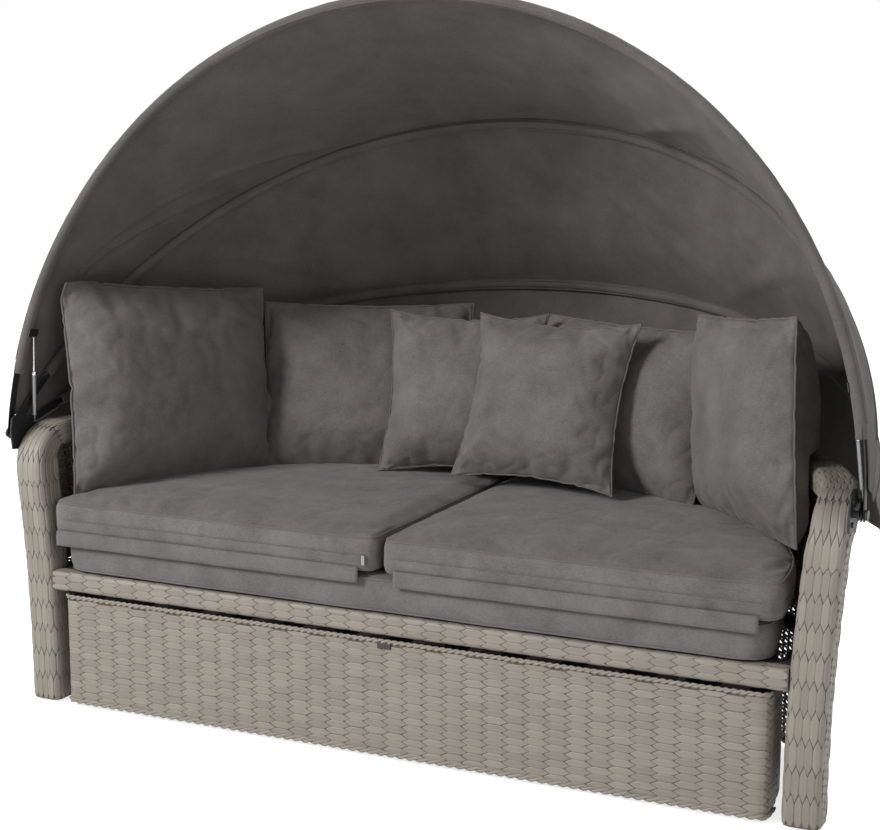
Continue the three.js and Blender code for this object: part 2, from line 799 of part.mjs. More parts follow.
function buildPillows(seats) {
  const surround = rimSurround();
  const boxedSections = [
    [0.45, -0.3], [0.8, -0.17], [0.96, -0.02], [1, 0.04], [0.98, 0.5],
    [1, 0.96], [0.96, 1.02], [0.8, 1.17], [0.45, 1.3],
  ];
  for (const [name, place] of Object.entries(largeCushions)) {
    const geometry = standingCushion(place, boxedBorder, boxedSections, [-0.36, 1.36]);
    addPillow(name, geometry, seats, surround);
  }
  const plumpSections = [
    [0.4, -0.46], [0.75, -0.32], [0.93, -0.13], [1, 0], [0.93, 0.07], [0.75, 0.14], [0.4, 0.18],
  ];
  for (const [name, place] of Object.entries(throwPillows)) {
    const geometry = standingCushion(place, throwThickness, plumpSections, [-0.5, 0.2]);
    addPillow(name, geometry, seats, surround);
  }
}

// Canopy: directions in the plane of a hoop that is tilted back from upright
function tiltDirection(tilt) {
  return new THREE.Vector3(0, Math.sin(tilt), Math.cos(tilt));
}

function hoopCentre(arc, tilt) {
  const point = tiltDirection(tilt).multiplyScalar(hoopRadius * Math.sin(arc));
  return point.add(new THREE.Vector3(hoopRadius * Math.cos(arc), pivotY, pivotZ));
}

function outward(arc, tilt) {
  const direction = tiltDirection(tilt).multiplyScalar(Math.sin(arc));
  direction.x = Math.cos(arc);
  return direction;
}

// Places along a hoop: the tail below the pivot, the flat tongue, its blend and the round tube
const tailShares = [-1, -0.55];
const tongueShares = [0, 0.35, 0.55, 0.78, 1];
const roundStart = (tongueLength + tongueBlend) / hoopRadius;
const roundStep = (Math.PI - 2 * roundStart) / hoopArcSteps;
const hoopSagitta = hoopRadius * (1 - Math.cos(roundStep / 2));

function hoopArcs(withTails) {
  const tails = withTails ? tailShares.map((share) => share * tongueTail) : [];
  const flat = tongueShares.slice(withTails ? 0 : 1).map((share) => share * tongueLength);
  const low = [...tails, ...flat].map((distance) => distance / hoopRadius);
  const round = evenAngles(roundStart, Math.PI - roundStart, hoopArcSteps);
  return [...low, ...round, ...low.toReversed().map((arc) => Math.PI - arc)];
}

function hoopGeometry(tilt, tongueShift) {
  const arcs = hoopArcs(true);
  const planeNormal = new THREE.Vector3(0, Math.cos(tilt), -Math.sin(tilt));
  const rings = arcs.map((arc) => {
    const fromEnd = Math.min(arc, Math.PI - arc) * hoopRadius;
    const roundness = THREE.MathUtils.smoothstep(fromEnd, tongueLength, tongueLength + tongueBlend);
    const endTaper = fromEnd < 0 ? Math.sqrt(1 - (fromEnd / tongueTail) ** 2 * tailTaper) : 1;
    const halfThick = THREE.MathUtils.lerp(tongueThickness / 2, hoopTubeRadius, roundness);
    const halfWide = THREE.MathUtils.lerp((tongueWidth / 2) * endTaper, hoopTubeRadius, roundness);
    const side = Math.sign(Math.cos(arc));
    const centre = hoopCentre(arc, tilt);
    centre.x += side * tongueShift * (1 - roundness);
    const radial = outward(arc, tilt);
    return Array.from({ length: hoopSides }, (_, i) => {
      const angle = ((i + 0.5) / hoopSides) * 2 * Math.PI;
      return centre.clone()
        .addScaledVector(radial, halfThick * Math.cos(angle))
        .addScaledVector(planeNormal, halfWide * Math.sin(angle));
    });
  });
  const holeRadius = boltRadius + boltHoleClearance;
  const reach = hoopRadius + boltReach;
  const drill = toSolid(crossPin(holeRadius, -reach, reach, pivotY, pivotZ));
  return toGeometry(toSolid(loft(rings)).subtract(drill));
}

const tilts = {
  front: degrees(hoopTilts.front),
  middle: degrees(hoopTilts.middle),
  rear: degrees(hoopTilts.rear),
};

function buildHoops() {
  addPiece('rear_hoop', hoopGeometry(tilts.rear, -tongueStep), blackMetal);
  addPiece('middle_hoop', hoopGeometry(tilts.middle, 0), blackMetal);
  addPiece('front_hoop', hoopGeometry(tilts.front, tongueStep), blackMetal);
}

// Hinge brackets on the arms, with the stud that each strut turns on
const plateInner = rimHalfWidth + touchGap - bracketBedding;
const plateOuter = plateInner + bracketThickness;

function buildBrackets() {
  const outlineShares = [
    [-0.3, -0.42], [-0.36, 0.1], [-0.28, 0.5], [0.05, 0.62], [0.33, 0.56],
    [0.52, 0.28], [0.95, 0.2], [1, -0.06], [0.6, -0.3], [0.3, -0.5],
  ];
  const reach = strutFootY + bracketPastStud - pivotY;
  const outline = outlineShares.map(([alongShare, upShare]) => {
    return new THREE.Vector2(pivotY + reach * alongShare, pivotZ + reach * upShare);
  });
  const plate = new THREE.ExtrudeGeometry(new THREE.Shape(outline), { depth: bracketThickness, bevelEnabled: false });
  plate.rotateX(Math.PI / 2);
  plate.rotateZ(Math.PI / 2);
  plate.translate(plateInner, 0, 0);
  const sink = bracketThickness / 2;
  const studEnd = strutFootX + eyeWidth / 2;
  const stud = crossPin(studRadius, plateOuter - sink, studEnd, strutFootY, strutFootZ);
  let bracket = toSolid(plate).add(toSolid(stud));
  const screwPlaces = [[-0.1, -0.25], [0.62, -0.12], [-0.12, 0.32]];
  for (const [alongShare, upShare] of screwPlaces) {
    const y = pivotY + reach * alongShare;
    const z = pivotZ + reach * upShare;
    const head = crossPin(bracketScrewRadius, plateOuter - sink, plateOuter + bracketScrewHeight, y, z, 6);
    bracket = bracket.add(toSolid(head));
  }
  const geometry = toGeometry(bracket);
  addPiece('right_hinge_bracket', geometry, blackMetal);
  addPiece('left_hinge_bracket', mirrored(geometry), blackMetal);
}

// Pivot bolts: a spacer against the bracket, a shank through three tongues and a head
function buildPivotBolts() {
  const spacerStart = plateOuter + touchGap;
  const shankStart = hoopRadius - tongueStep - tongueThickness / 2 - touchGap;
  const headStart = hoopRadius + tongueStep + tongueThickness / 2 + touchGap;
  const headEnd = headStart + boltHeadHeight;
  const profile = [
    [0, spacerStart], [spacerRadius, spacerStart], [spacerRadius, shankStart], [boltRadius, shankStart],
    [boltRadius, headStart], [boltHeadRadius, headStart], [boltHeadRadius, headEnd], [0, headEnd],
  ].map(([radius, along]) => new THREE.Vector2(radius, along));
  const bolt = new THREE.LatheGeometry(profile, 24);
  bolt.rotateZ(-Math.PI / 2);
  bolt.translate(0, pivotY, pivotZ);
  const geometry = toGeometry(toSolid(bolt));
  addPiece('right_pivot_bolt', geometry, blackMetal);
  addPiece('left_pivot_bolt', mirrored(geometry), blackMetal);
}

// Gas struts, built upright from the foot and then leant towards the front hoop
const strutFoot = new THREE.Vector3(strutFootX, strutFootY, strutFootZ);
const headArc = strutHeadArc / hoopRadius;
const frontPlaneNormal = new THREE.Vector3(0, Math.cos(tilts.front), -Math.sin(tilts.front));
const strutHead = hoopCentre(headArc, tilts.front)
  .addScaledVector(frontPlaneNormal, strutHeadBehind)
  .add(new THREE.Vector3(-strutHeadInset, 0, 0));
const strutLine = strutHead.clone().sub(strutFoot);
const strutLength = strutLine.length();

function placeStrut(geometry) {
  const swing = Math.atan2(-strutLine.y, strutLine.z);
  const sideways = Math.asin(strutLine.x / strutLength);
  geometry.rotateY(sideways);
  geometry.rotateX(swing);
  geometry.translate(strutFoot.x, strutFoot.y, strutFoot.z);
  return geometry;
}

function lathed(profile, sides) {
  const points = profile.map(([radius, along]) => new THREE.Vector2(radius, along));
  const geometry = new THREE.LatheGeometry(points, sides);
  geometry.rotateX(Math.PI / 2);
  return geometry;
}

function buildStruts() {
  const boreRadius = rodRadius + touchGap;
  const tubeBody = lathed([
    [0, 0], [neckRadius, 0], [neckRadius, neckLength], [tubeRadius, neckLength],
    [tubeRadius, tubeTop - collarLength], [collarRadius, tubeTop - collarLength], [collarRadius, tubeTop],
    [boreRadius, tubeTop], [boreRadius, boreBottom], [0, boreBottom],
  ], 16);
  const footEye = crossPin(eyeRadius, -eyeWidth / 2, eyeWidth / 2, 0, 0);
  const footHole = crossPin(eyeHoleRadius, -eyeWidth, eyeWidth, 0, 0);
  const tube = toSolid(tubeBody).add(toSolid(footEye)).subtract(toSolid(footHole));
  const tubeGeometry = placeStrut(toGeometry(tube));
  addPiece('right_strut_tube', tubeGeometry, blackMetal);
  addPiece('left_strut_tube', mirrored(tubeGeometry), blackMetal);

  const rodStart = tubeTop - rodInside;
  const rodBody = lathed([[0, rodStart], [rodRadius, rodStart], [rodRadius, strutLength], [0, strutLength]], 12);
  const headEye = crossPin(rodEyeRadius, -eyeWidth / 2, eyeWidth / 2, 0, strutLength);
  const headHole = crossPin(eyeHoleRadius, -eyeWidth, eyeWidth, 0, strutLength);
  const rod = toSolid(rodBody).add(toSolid(headEye)).subtract(toSolid(headHole));
  const rodGeometry = placeStrut(toGeometry(rod));
  addPiece('right_strut_rod', rodGeometry, brightSteel);
  addPiece('left_strut_rod', mirrored(rodGeometry), brightSteel);
}

// Plates on the front hoop beside the heads of the struts
function buildStrutMounts() {
  const radial = outward(headArc, tilts.front);
  const along = new THREE.Vector3().crossVectors(radial, frontPlaneNormal);
  const width = hoopTubeRadius + mountPlateReach;
  const plate = new THREE.BoxGeometry(mountPlateThickness, width, mountPlateLength);
  const basis = new THREE.Matrix4().makeBasis(radial, frontPlaneNormal, along);
  const centre = hoopCentre(headArc, tilts.front)
    .addScaledVector(radial, -(hoopTubeRadius + hoopSagitta + touchGap + mountPlateThickness / 2))
    .addScaledVector(frontPlaneNormal, (mountPlateReach - hoopTubeRadius) / 2);
  plate.applyMatrix4(basis.setPosition(centre));
  const geometry = toGeometry(toSolid(plate));
  addPiece('right_strut_mount', geometry, blackMetal);
  addPiece('left_strut_mount', mirrored(geometry), blackMetal);
}

// Canopy cloth between two hoops, wrapped over each tube and pulled straight between them
const clothInner = hoopTubeRadius + clothClearance;

function clothGrids(rows, pointAt) {
  const grid = (offset) => rows.map((row) => hoopArcs(false).map((arc) => pointAt(arc, row, offset)));
  return sheetSolid(grid(clothInner + clothThickness), grid(clothInner));
}

function panelGeometry(fromTilt, toTilt, startTurn, seamGap) {
  const middleTilt = (fromTilt + toTilt) / 2;
  const halfSeam = seamGap / 2 / clothInner;
  const wraps = startTurn > 0 ? [1, 0.67, 0.33, 0].map((share) => -share * startTurn) : [halfSeam];
  const rows = [
    ...wraps.map((turn) => ({ share: 0, tilt: fromTilt, turn })),
    ...[0, 0.12, 0.3, 0.5, 0.7, 0.88, 1].map((share) => ({ share, tilt: middleTilt, turn: 0 })),
    { share: 1, tilt: toTilt, turn: -halfSeam },
  ];
  return clothGrids(rows, (arc, row, offset) => {
    const fromEnd = Math.min(arc, Math.PI - arc) * hoopRadius;
    const wrapShare = THREE.MathUtils.smoothstep(fromEnd, tongueLength, tongueLength + tongueBlend);
    const turn = row.turn * THREE.MathUtils.lerp(tongueWrapShare, 1, wrapShare);
    const point = hoopCentre(arc, fromTilt).lerp(hoopCentre(arc, toTilt), row.share);
    const ripple = 0.65 + 0.35 * Math.cos(clothFolds * arc + Math.PI * row.share);
    const sag = clothSag * Math.sin(Math.PI * row.share) * Math.sin(arc) * ripple;
    return point.addScaledVector(outward(arc, row.tilt + turn), offset - sag);
  });
}

function skirtGeometry(seamGap) {
  const halfSeam = seamGap / 2 / clothInner;
  const turn = degrees(skirtTurn);
  const rows = [
    { share: 0, tilt: tilts.rear + halfSeam },
    { share: 0, tilt: tilts.rear + turn / 2 },
    ...[0, 0.25, 0.5, 0.75, 1].map((share) => ({ share, tilt: tilts.rear + turn })),
  ];
  return clothGrids(rows, (arc, row, offset) => {
    const sine = Math.sin(arc);
    const hem = new THREE.Vector3(
      skirtHalfWidth * Math.cos(arc),
      skirtFrontY + (skirtBack - skirtFrontY) * sine,
      skirtBottomZ,
    );
    const level = new THREE.Vector3(Math.cos(arc), sine, 0);
    const direction = outward(arc, row.tilt).lerp(level, row.share).normalize();
    const wave = skirtWave * row.share * Math.sin(skirtWaves * arc);
    const hang = offset - clothInner * row.share + wave;
    return hoopCentre(arc, tilts.rear).lerp(hem, row.share).addScaledVector(direction, hang);
  });
}

function buildCanopyCloth() {
  const front = panelGeometry(tilts.front, tilts.middle, degrees(hemTurn), touchGap);
  const rear = panelGeometry(tilts.middle, tilts.rear, 0, touchGap);
  addPiece('canopy_front_panel', front, canopyCloth);
  addPiece('canopy_rear_panel', rear, canopyCloth);
  addPiece('canopy_skirt', skirtGeometry(touchGap), canopyCloth);
}

// Footstool: front panel with short side returns, half-round wall, slatted frame on four posts
const stoolWallHalfWidth = stoolHalfWidth - stoolWallInset;
const stoolWallBack = stoolBack - stoolReturn;

function buildStoolPanel() {
  const corner = stoolCornerRadius;
  const inner = stoolHalfWidth - stoolPanelThickness;
  const innerCorner = corner - stoolPanelThickness;
  const cornerX = stoolHalfWidth - corner;
  const outline = [
    new THREE.Vector2(-stoolHalfWidth, stoolReturn),
    ...arcPoints(-cornerX, corner, corner, corner, Math.PI, 1.5 * Math.PI, 4),
    ...arcPoints(cornerX, corner, corner, corner, 1.5 * Math.PI, 2 * Math.PI, 4),
    new THREE.Vector2(stoolHalfWidth, stoolReturn),
    new THREE.Vector2(inner, stoolReturn),
    ...arcPoints(cornerX, corner, innerCorner, innerCorner, 0, -Math.PI / 2, 3),
    ...arcPoints(-cornerX, corner, innerCorner, innerCorner, -Math.PI / 2, -Math.PI, 3),
    new THREE.Vector2(-inner, stoolReturn),
  ];
  const height = stoolTop - stoolBottom;
  const panel = new THREE.ExtrudeGeometry(new THREE.Shape(outline), { depth: height, bevelEnabled: false });
  panel.translate(0, 0, stoolBottom);
  addPiece('footstool_front_panel', panel, wicker);
}

function buildStoolWall() {
  const start = stoolReturn + touchGap;
  const levels = [stoolBottom, stoolWallTop];
  const grid = (inset) => levels.map((z) => evenAngles(0, Math.PI, stoolArcSteps).map((angle) => {
    return planPoint(stoolWallHalfWidth - inset, stoolWallBack - inset, angle, z, start);
  }));
  addPiece('footstool_wall', sheetSolid(grid(0), grid(stoolWallThickness)), wicker);
}

function buildStoolFrame() {
  const inset = stoolWallThickness + touchGap;
  const halfWidth = stoolWallHalfWidth - inset;
  const back = stoolWallBack - inset;
  const centreY = stoolReturn + touchGap;
  const front = stoolPanelThickness + touchGap;
  const panelSide = stoolHalfWidth - stoolPanelThickness - touchGap;
  const sideX = Math.min(halfWidth, panelSide);
  const notch = stoolCornerRadius;
  const outline = [
    new THREE.Vector2(-sideX, front + notch),
    new THREE.Vector2(-sideX + notch, front),
    new THREE.Vector2(sideX - notch, front),
    new THREE.Vector2(sideX, front + notch),
    ...arcPoints(0, centreY, halfWidth, back, 0, Math.PI, stoolArcSteps),
  ];
  const backAt = (x) => centreY + back * Math.sqrt(1 - (x / halfWidth) ** 2);
  const options = { outline, halfWidth: sideX - notch, front, backAt, slatCount: stoolSlatCount };
  const frame = slattedFrame({ ...options, top: stoolFrameTop, thickness: stoolFrameThickness });
  addPiece('footstool_frame', frame, darkMetal);
}

function buildStoolPosts() {
  const bottom = stoolBottom + touchGap;
  const top = stoolFrameTop - stoolFrameThickness - touchGap;
  stoolPostShares.forEach(([widthShare, depthShare], i) => {
    const x = stoolHalfWidth * widthShare;
    const y = stoolBack * depthShare;
    const post = box(stoolPostSize, stoolPostSize, top - bottom, x, y, (top + bottom) / 2);
    addPiece(`footstool_post_${i + 1}`, post, darkMetal);
    addPiece(`footstool_glide_${i + 1}`, glide(stoolGlideRadius, stoolBottom, x, y), darkPlastic);
  });
}

// Pull tab folded over the top edge of the footstool's front panel
function buildPullTab() {
  const near = -touchGap;
  const far = stoolPanelThickness + touchGap;
  const under = stoolTop + touchGap;
  const over = under + tabThickness;
  const low = stoolTop - tabDrop;
  const outline = [
    [near - tabThickness, low], [near, low], [near, under], [far, under],
    [far, low], [far + tabThickness, low], [far + tabThickness, over], [near - tabThickness, over],
  ].map(([y, z]) => new THREE.Vector2(y, z));
  const tab = new THREE.ExtrudeGeometry(new THREE.Shape(outline), { depth: tabWidth, bevelEnabled: false });
  tab.rotateX(Math.PI / 2);
  tab.rotateZ(Math.PI / 2);
  tab.translate(-tabWidth / 2, 0, 0);
  addPiece('footstool_pull_tab', tab, darkPlastic);
}

buildRim();
buildWalls();
buildRearPosts();
buildLegGlides();
buildFrontRail();
buildSeatFrame();
buildBasePad();
const seats = buildSeatCushions();
buildSeatTrim();
buildPillows(seats);
buildHoops();
buildBrackets();
buildPivotBolts();
buildStruts();
buildStrutMounts();
buildCanopyCloth();
buildStoolPanel();
buildStoolWall();
buildStoolFrame();
buildStoolPosts();
buildPullTab();

// The origin goes under the middle of the whole piece
const extent = new THREE.Box3().setFromObject(daybed);
const middle = extent.getCenter(new THREE.Vector3());
daybed.position.set(-middle.x, -middle.y, -extent.min.z);
daybed.updateMatrixWorld(true);

export default daybed;
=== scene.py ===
import math
import random

import bpy
import numpy as np
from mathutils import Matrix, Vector, noise
from mathutils.bvhtree import BVHTree


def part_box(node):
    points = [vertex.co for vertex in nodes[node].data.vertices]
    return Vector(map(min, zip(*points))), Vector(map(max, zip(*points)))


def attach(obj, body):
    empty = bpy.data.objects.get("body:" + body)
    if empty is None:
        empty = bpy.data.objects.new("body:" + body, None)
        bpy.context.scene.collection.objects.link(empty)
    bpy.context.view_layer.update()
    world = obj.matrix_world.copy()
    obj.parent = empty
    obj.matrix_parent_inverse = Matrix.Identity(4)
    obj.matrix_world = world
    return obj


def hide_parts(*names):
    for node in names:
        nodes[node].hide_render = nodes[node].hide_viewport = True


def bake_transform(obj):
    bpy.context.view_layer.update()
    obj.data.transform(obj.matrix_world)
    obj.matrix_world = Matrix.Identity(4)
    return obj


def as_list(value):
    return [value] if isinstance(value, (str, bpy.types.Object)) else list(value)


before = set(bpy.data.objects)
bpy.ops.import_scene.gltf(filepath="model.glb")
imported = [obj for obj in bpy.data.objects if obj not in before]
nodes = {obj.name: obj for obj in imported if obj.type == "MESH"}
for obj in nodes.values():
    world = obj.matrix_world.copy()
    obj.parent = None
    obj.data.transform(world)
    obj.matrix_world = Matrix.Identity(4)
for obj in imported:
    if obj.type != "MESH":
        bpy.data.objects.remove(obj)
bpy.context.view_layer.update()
scene = bpy.context.scene
bpy.ops.object.select_all(action="DESELECT")
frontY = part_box("footstool_front_panel")[0][1]  # y of the front face
print("frame loaded, front plane at", round(frontY, 4))

# Camera

view = {
    "place": (1.795459, -3.471614, 1.479766),  # y from the front plane
    "yaw": 25.28, "pitch": 9.554, "lens": 73.35, "sensor": 36, "shift": (-0.00793, -0.01144), "far": 60,
}


def makeCamera():
    bpy.ops.object.camera_add()
    camera = bpy.context.object
    x, y, z = view["place"]
    camera.location = (x, y + frontY, z)
    camera.rotation_euler = (math.radians(90 - view["pitch"]), 0, math.radians(view["yaw"]))
    camera.data.lens, camera.data.sensor_width = view["lens"], view["sensor"]
    camera.data.shift_x, camera.data.shift_y = view["shift"]
    camera.data.clip_end = view["far"]
    scene.camera = camera


makeCamera()

# Shapes shared by the woven frame, in metres

plan = {"centreY": 0.032, "split": 0.87, "gap": 0.0004}
rim = {
    "halfWidth": 1.034, "back": 0.866, "width": 0.080, "top": 0.695, "thickness": 0.057, "corner": 0.017,
    "bend": 0.120,
}
leg = {"depth": 0.080, "foot": 0.998, "flare": 2.2, "bottom": 0.0064, "strandStart": 0.002}
wall = {
    "halfWidth": 0.968, "back": 0.800, "flare": 0.037, "thickness": 0.006, "bottom": 0.008, "gap": 0.0004,
    "legGap": 0.0008,
}
rimBottom = rim["top"] - rim["thickness"]
rimCentreX = rim["halfWidth"] - rim["width"] / 2
rimCentreBack = rim["back"] - rim["width"] / 2
quarter = math.pi / 2
upward, forward = np.array([0, 0, 1.0]), np.array([0, -1.0, 0])


def vec(x, y, z):
    return np.array([x, y, z], dtype=float)


def unit(vector):
    return vector / np.linalg.norm(vector)


def flareShare(z):
    return (min(z, rimBottom) / rimBottom) ** leg["flare"]


def legOuter(z):
    return leg["foot"] + (rim["halfWidth"] - leg["foot"]) * flareShare(z)


def planPoint(halfWidth, back, angle, z, centreY=plan["centreY"]):
    return vec(halfWidth * math.cos(angle), frontY + centreY + back * math.sin(angle), z)


def planNormal(halfWidth, back, angle):
    return unit(vec(math.cos(angle) / halfWidth, math.sin(angle) / back, 0))


def roundedSection(share, width, depth, radius):  # a point and normal on a rounded rectangle, by girth
    x, y = width / 2 - radius, depth / 2 - radius
    arc = quarter * radius
    left = (share % 1.0) * (4 * (x + y) + 4 * arc)
    corners = [(x, -y), (x, y), (-x, y), (-x, -y)]
    for q, (nx, ny) in enumerate(((1, 0), (0, 1), (-1, 0), (0, -1))):
        side = 2 * (x if q % 2 else y)
        if left <= side:
            sx, sy = corners[q]
            return sx + nx * radius - ny * left, sy + ny * radius + nx * left, nx, ny
        left -= side
        if left <= arc:
            angle = q * quarter + left / radius
            sx, sy = corners[(q + 1) % 4]
            nx, ny = math.cos(angle), math.sin(angle)
            return sx + nx * radius, sy + ny * radius, nx, ny
        left -= arc
    return width / 2, 0.0, 1.0, 0.0


def finishTable(points, normals, closed):
    middle = points.mean(axis=1) if closed else points[:, points.shape[1] // 2]
    steps = np.linalg.norm(np.diff(middle, axis=0), axis=1)
    across = points[points.shape[0] // 2]
    return {
        "points": points, "normals": normals, "closed": closed,
        "lengths": np.concatenate([[0], np.cumsum(steps)]),
        "girth": float(np.linalg.norm(np.diff(across, axis=0), axis=1).sum()),
    }


def tubeTable(stations, around):  # stations: centre, across, out, width, depth, radius
    points = np.zeros((len(stations), around + 1, 3))
    normals = np.zeros_like(points)
    for i, (centre, across, out, width, depth, radius) in enumerate(stations):
        for j in range(around + 1):
            x, y, nx, ny = roundedSection(j / around, width, depth, radius)
            points[i, j] = centre + across * x + out * y
            normals[i, j] = across * nx + out * ny
    return finishTable(points, normals, True)


def gridTable(place, alongs, acrosses):
    cells = np.array([[place(a, b) for b in acrosses] for a in alongs])
    return finishTable(cells[:, :, 0], cells[:, :, 1], False)


def onTable(table, along, across, height):  # along and across in metres
    points, normals = table["points"], table["normals"]
    rows, columns = points.shape[:2]
    t = np.interp(along, table["lengths"], np.arange(rows))
    share = across / table["girth"]
    share = np.mod(share, 1.0) if table["closed"] else np.clip(share, 0, 1)
    u = share * (columns - 1)
    i = np.clip(t.astype(int), 0, rows - 2)
    j = np.clip(u.astype(int), 0, columns - 2)
    a, b = (t - i)[:, None], (u - j)[:, None]

    def mix(grid):
        low = grid[i, j] * (1 - b) + grid[i, j + 1] * b
        high = grid[i + 1, j] * (1 - b) + grid[i + 1, j + 1] * b
        return low * (1 - a) + high * a

    normal = mix(normals)
    normal /= np.linalg.norm(normal, axis=1)[:, None]
    return mix(points) + normal * height[:, None]


# Materials

strandLook = {
    "dark": (0.152, 0.143, 0.117), "middle": (0.240, 0.214, 0.177), "light": (0.312, 0.298, 0.251),
    "streaks": (14.0, 620.0, 1.0), "streakShare": 0.62, "toneShare": 0.24, "lift": 0.07, "roughness": 0.52,
}
# The backing's colours are painted shade: darker than the strands, the tone of strands in shadow, shown in
# the gaps between them. The grain varies it at random.
shadedBackingLook = {"dark": (0.080, 0.071, 0.057), "light": (0.145, 0.130, 0.107), "grain": 180.0}
clothLook = {"patches": 9.0, "slubs": (160.0, 160.0, 900.0), "roughness": 0.93, "sheenRoughness": 0.5}


def newMaterial(name, roughness, metallic=0.0):
    material = bpy.data.materials.new(name)
    material.use_nodes = True
    tree = material.node_tree
    shader = tree.nodes["Principled BSDF"]
    shader.inputs["Roughness"].default_value = roughness
    shader.inputs["Metallic"].default_value = metallic
    return material, tree, shader


def node(tree, kind, sockets=None, **settings):  # a socket takes a number or the output that feeds it
    made = tree.nodes.new(kind)
    for key, value in settings.items():
        setattr(made, key, value)
    for key, value in (sockets or {}).items():
        if isinstance(value, bpy.types.NodeSocket):
            tree.links.new(value, made.inputs[key])
        else:
            made.inputs[key].default_value = value
    return made


def objectPlace(tree):
    return node(tree, "ShaderNodeTexCoord").outputs["Object"]


def stretched(tree, source, scale):
    return node(tree, "ShaderNodeMapping", {"Vector": source, "Scale": scale}).outputs["Vector"]


def grainOn(tree, source, scale, detail, roughness=0.5):
    sockets = {"Vector": source, "Scale": scale, "Detail": detail, "Roughness": roughness}
    return node(tree, "ShaderNodeTexNoise", sockets).outputs["Fac"]


def timesPlus(tree, a, b, c):  # a times b, plus c
    return node(tree, "ShaderNodeMath", {0: a, 1: b, 2: c}, operation="MULTIPLY_ADD").outputs["Value"]


def coloured(tree, shader, factor, stops):
    ramp = node(tree, "ShaderNodeValToRGB", {"Fac": factor})
    for k, (place, colour) in enumerate(stops):
        element = ramp.color_ramp.elements[k] if k < 2 else ramp.color_ramp.elements.new(place)
        element.position = place
        element.color = (*colour, 1)
    tree.links.new(ramp.outputs["Color"], shader.inputs["Base Color"])


def bumped(tree, shader, height, strength, distance):
    bump = node(tree, "ShaderNodeBump", {"Height": height, "Strength": strength, "Distance": distance})
    tree.links.new(bump.outputs["Normal"], shader.inputs["Normal"])


def strandMaterial():
    look = strandLook
    material, tree, shader = newMaterial("wovenStrand", look["roughness"])
    tone = node(tree, "ShaderNodeAttribute", attribute_name="strandTone").outputs["Fac"]
    uv = node(tree, "ShaderNodeUVMap", uv_map="strand").outputs["UV"]
    streak = grainOn(tree, stretched(tree, uv, look["streaks"]), 1.0, 4.0, 0.6)
    toneShade = timesPlus(tree, tone, look["toneShare"], look["lift"])
    shade = timesPlus(tree, streak, look["streakShare"], toneShade)
    coloured(tree, shader, shade, [(0.1, look["dark"]), (0.9, look["light"]), (0.5, look["middle"])])
    bumped(tree, shader, streak, 0.5, 0.0009)
    return material


def shadedBackingMaterial():
    # Painted shade for the gaps between strands, varied at random by grain.
    material, tree, shader = newMaterial("weaveBackingShade", 0.8)
    grain = grainOn(tree, objectPlace(tree), shadedBackingLook["grain"], 3.0)
    coloured(tree, shader, grain, [(0.3, shadedBackingLook["dark"]), (0.7, shadedBackingLook["light"])])
    bumped(tree, shader, grain, 0.5, 0.001)
    return material


def clothMaterial(name, dark, light, threads, sheen):
    material, tree, shader = newMaterial(name, clothLook["roughness"])
    shader.inputs["Sheen Weight"].default_value = sheen
    shader.inputs["Sheen Roughness"].default_value = clothLook["sheenRoughness"]
    place = objectPlace(tree)
    patches = grainOn(tree, place, clothLook["patches"], 6.0, 0.62)
    slubs = grainOn(tree, stretched(tree, place, clothLook["slubs"]), 1.0, 3.0, 0.7)
    sockets = {"Vector": place, "Scale": threads, "Distortion": 1.2, "Detail": 1.0}
    waves = [node(tree, "ShaderNodeTexWave", sockets, bands_direction=axis) for axis in "XYZ"]
    x, y, z = [wave.outputs["Fac"] for wave in waves]
    threadHeight = timesPlus(tree, y, 0.5, timesPlus(tree, x, z, 0.0))
    shade = timesPlus(tree, slubs, 0.5, timesPlus(tree, patches, 0.5, 0.0))
    coloured(tree, shader, shade, [(0.32, dark), (0.68, light)])
    bumped(tree, shader, timesPlus(tree, slubs, 1.0, threadHeight), 0.35, 0.0007)
    return material


def metalMaterial(name, dark, light, roughness, metallic, grainScale):
    material, tree, shader = newMaterial(name, roughness, metallic)
    grain = grainOn(tree, objectPlace(tree), grainScale, 5.0, 0.6)
    coloured(tree, shader, grain, [(0.3, dark), (0.7, light)])
    sockets = {"Value": grain, "To Min": roughness - 0.08, "To Max": roughness + 0.12}
    worn = node(tree, "ShaderNodeMapRange", sockets).outputs["Result"]
    tree.links.new(worn, shader.inputs["Roughness"])
    bumped(tree, shader, grain, 0.15, 0.0003)
    return material


strandFinish = strandMaterial()
shadedBackingFinish = shadedBackingMaterial()
cushionFinish = clothMaterial("cushionCloth", (0.072, 0.068, 0.067), (0.192, 0.181, 0.177), 200.0, 0.12)
pipingFinish = clothMaterial("cushionPiping", (0.105, 0.098, 0.095), (0.150, 0.141, 0.137), 420.0, 0.1)
canopyFinish = clothMaterial("canopyCloth", (0.064, 0.060, 0.059), (0.137, 0.129, 0.125), 200.0, 0.06)
blackFinish = metalMaterial("blackCoat", (0.010, 0.010, 0.011), (0.028, 0.028, 0.030), 0.42, 0.3, 260.0)
tubeFinish = metalMaterial("darkTube", (0.035, 0.035, 0.037), (0.07, 0.07, 0.073), 0.5, 0.3, 200.0)
steelFinish = metalMaterial("brightRod", (0.52, 0.52, 0.53), (0.68, 0.68, 0.69), 0.24, 1.0, 500.0)
cylinderFinish = metalMaterial("greyCylinder", (0.20, 0.20, 0.205), (0.30, 0.30, 0.305), 0.35, 0.8, 300.0)
plasticFinish = metalMaterial("darkPlastic", (0.016, 0.015, 0.014), (0.035, 0.033, 0.031), 0.55, 0.0, 300.0)
print("materials made")

# Helpers for pieces


def meshPiece(name, points, faces, material):
    mesh = bpy.data.meshes.new(name)
    mesh.from_pydata([tuple(float(c) for c in p) for p in points], [], faces)
    mesh.materials.append(material)
    mesh.shade_smooth()
    piece = bpy.data.objects.new(name, mesh)
    scene.collection.objects.link(piece)
    return piece


def carry(piece, body):
    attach(piece, body)


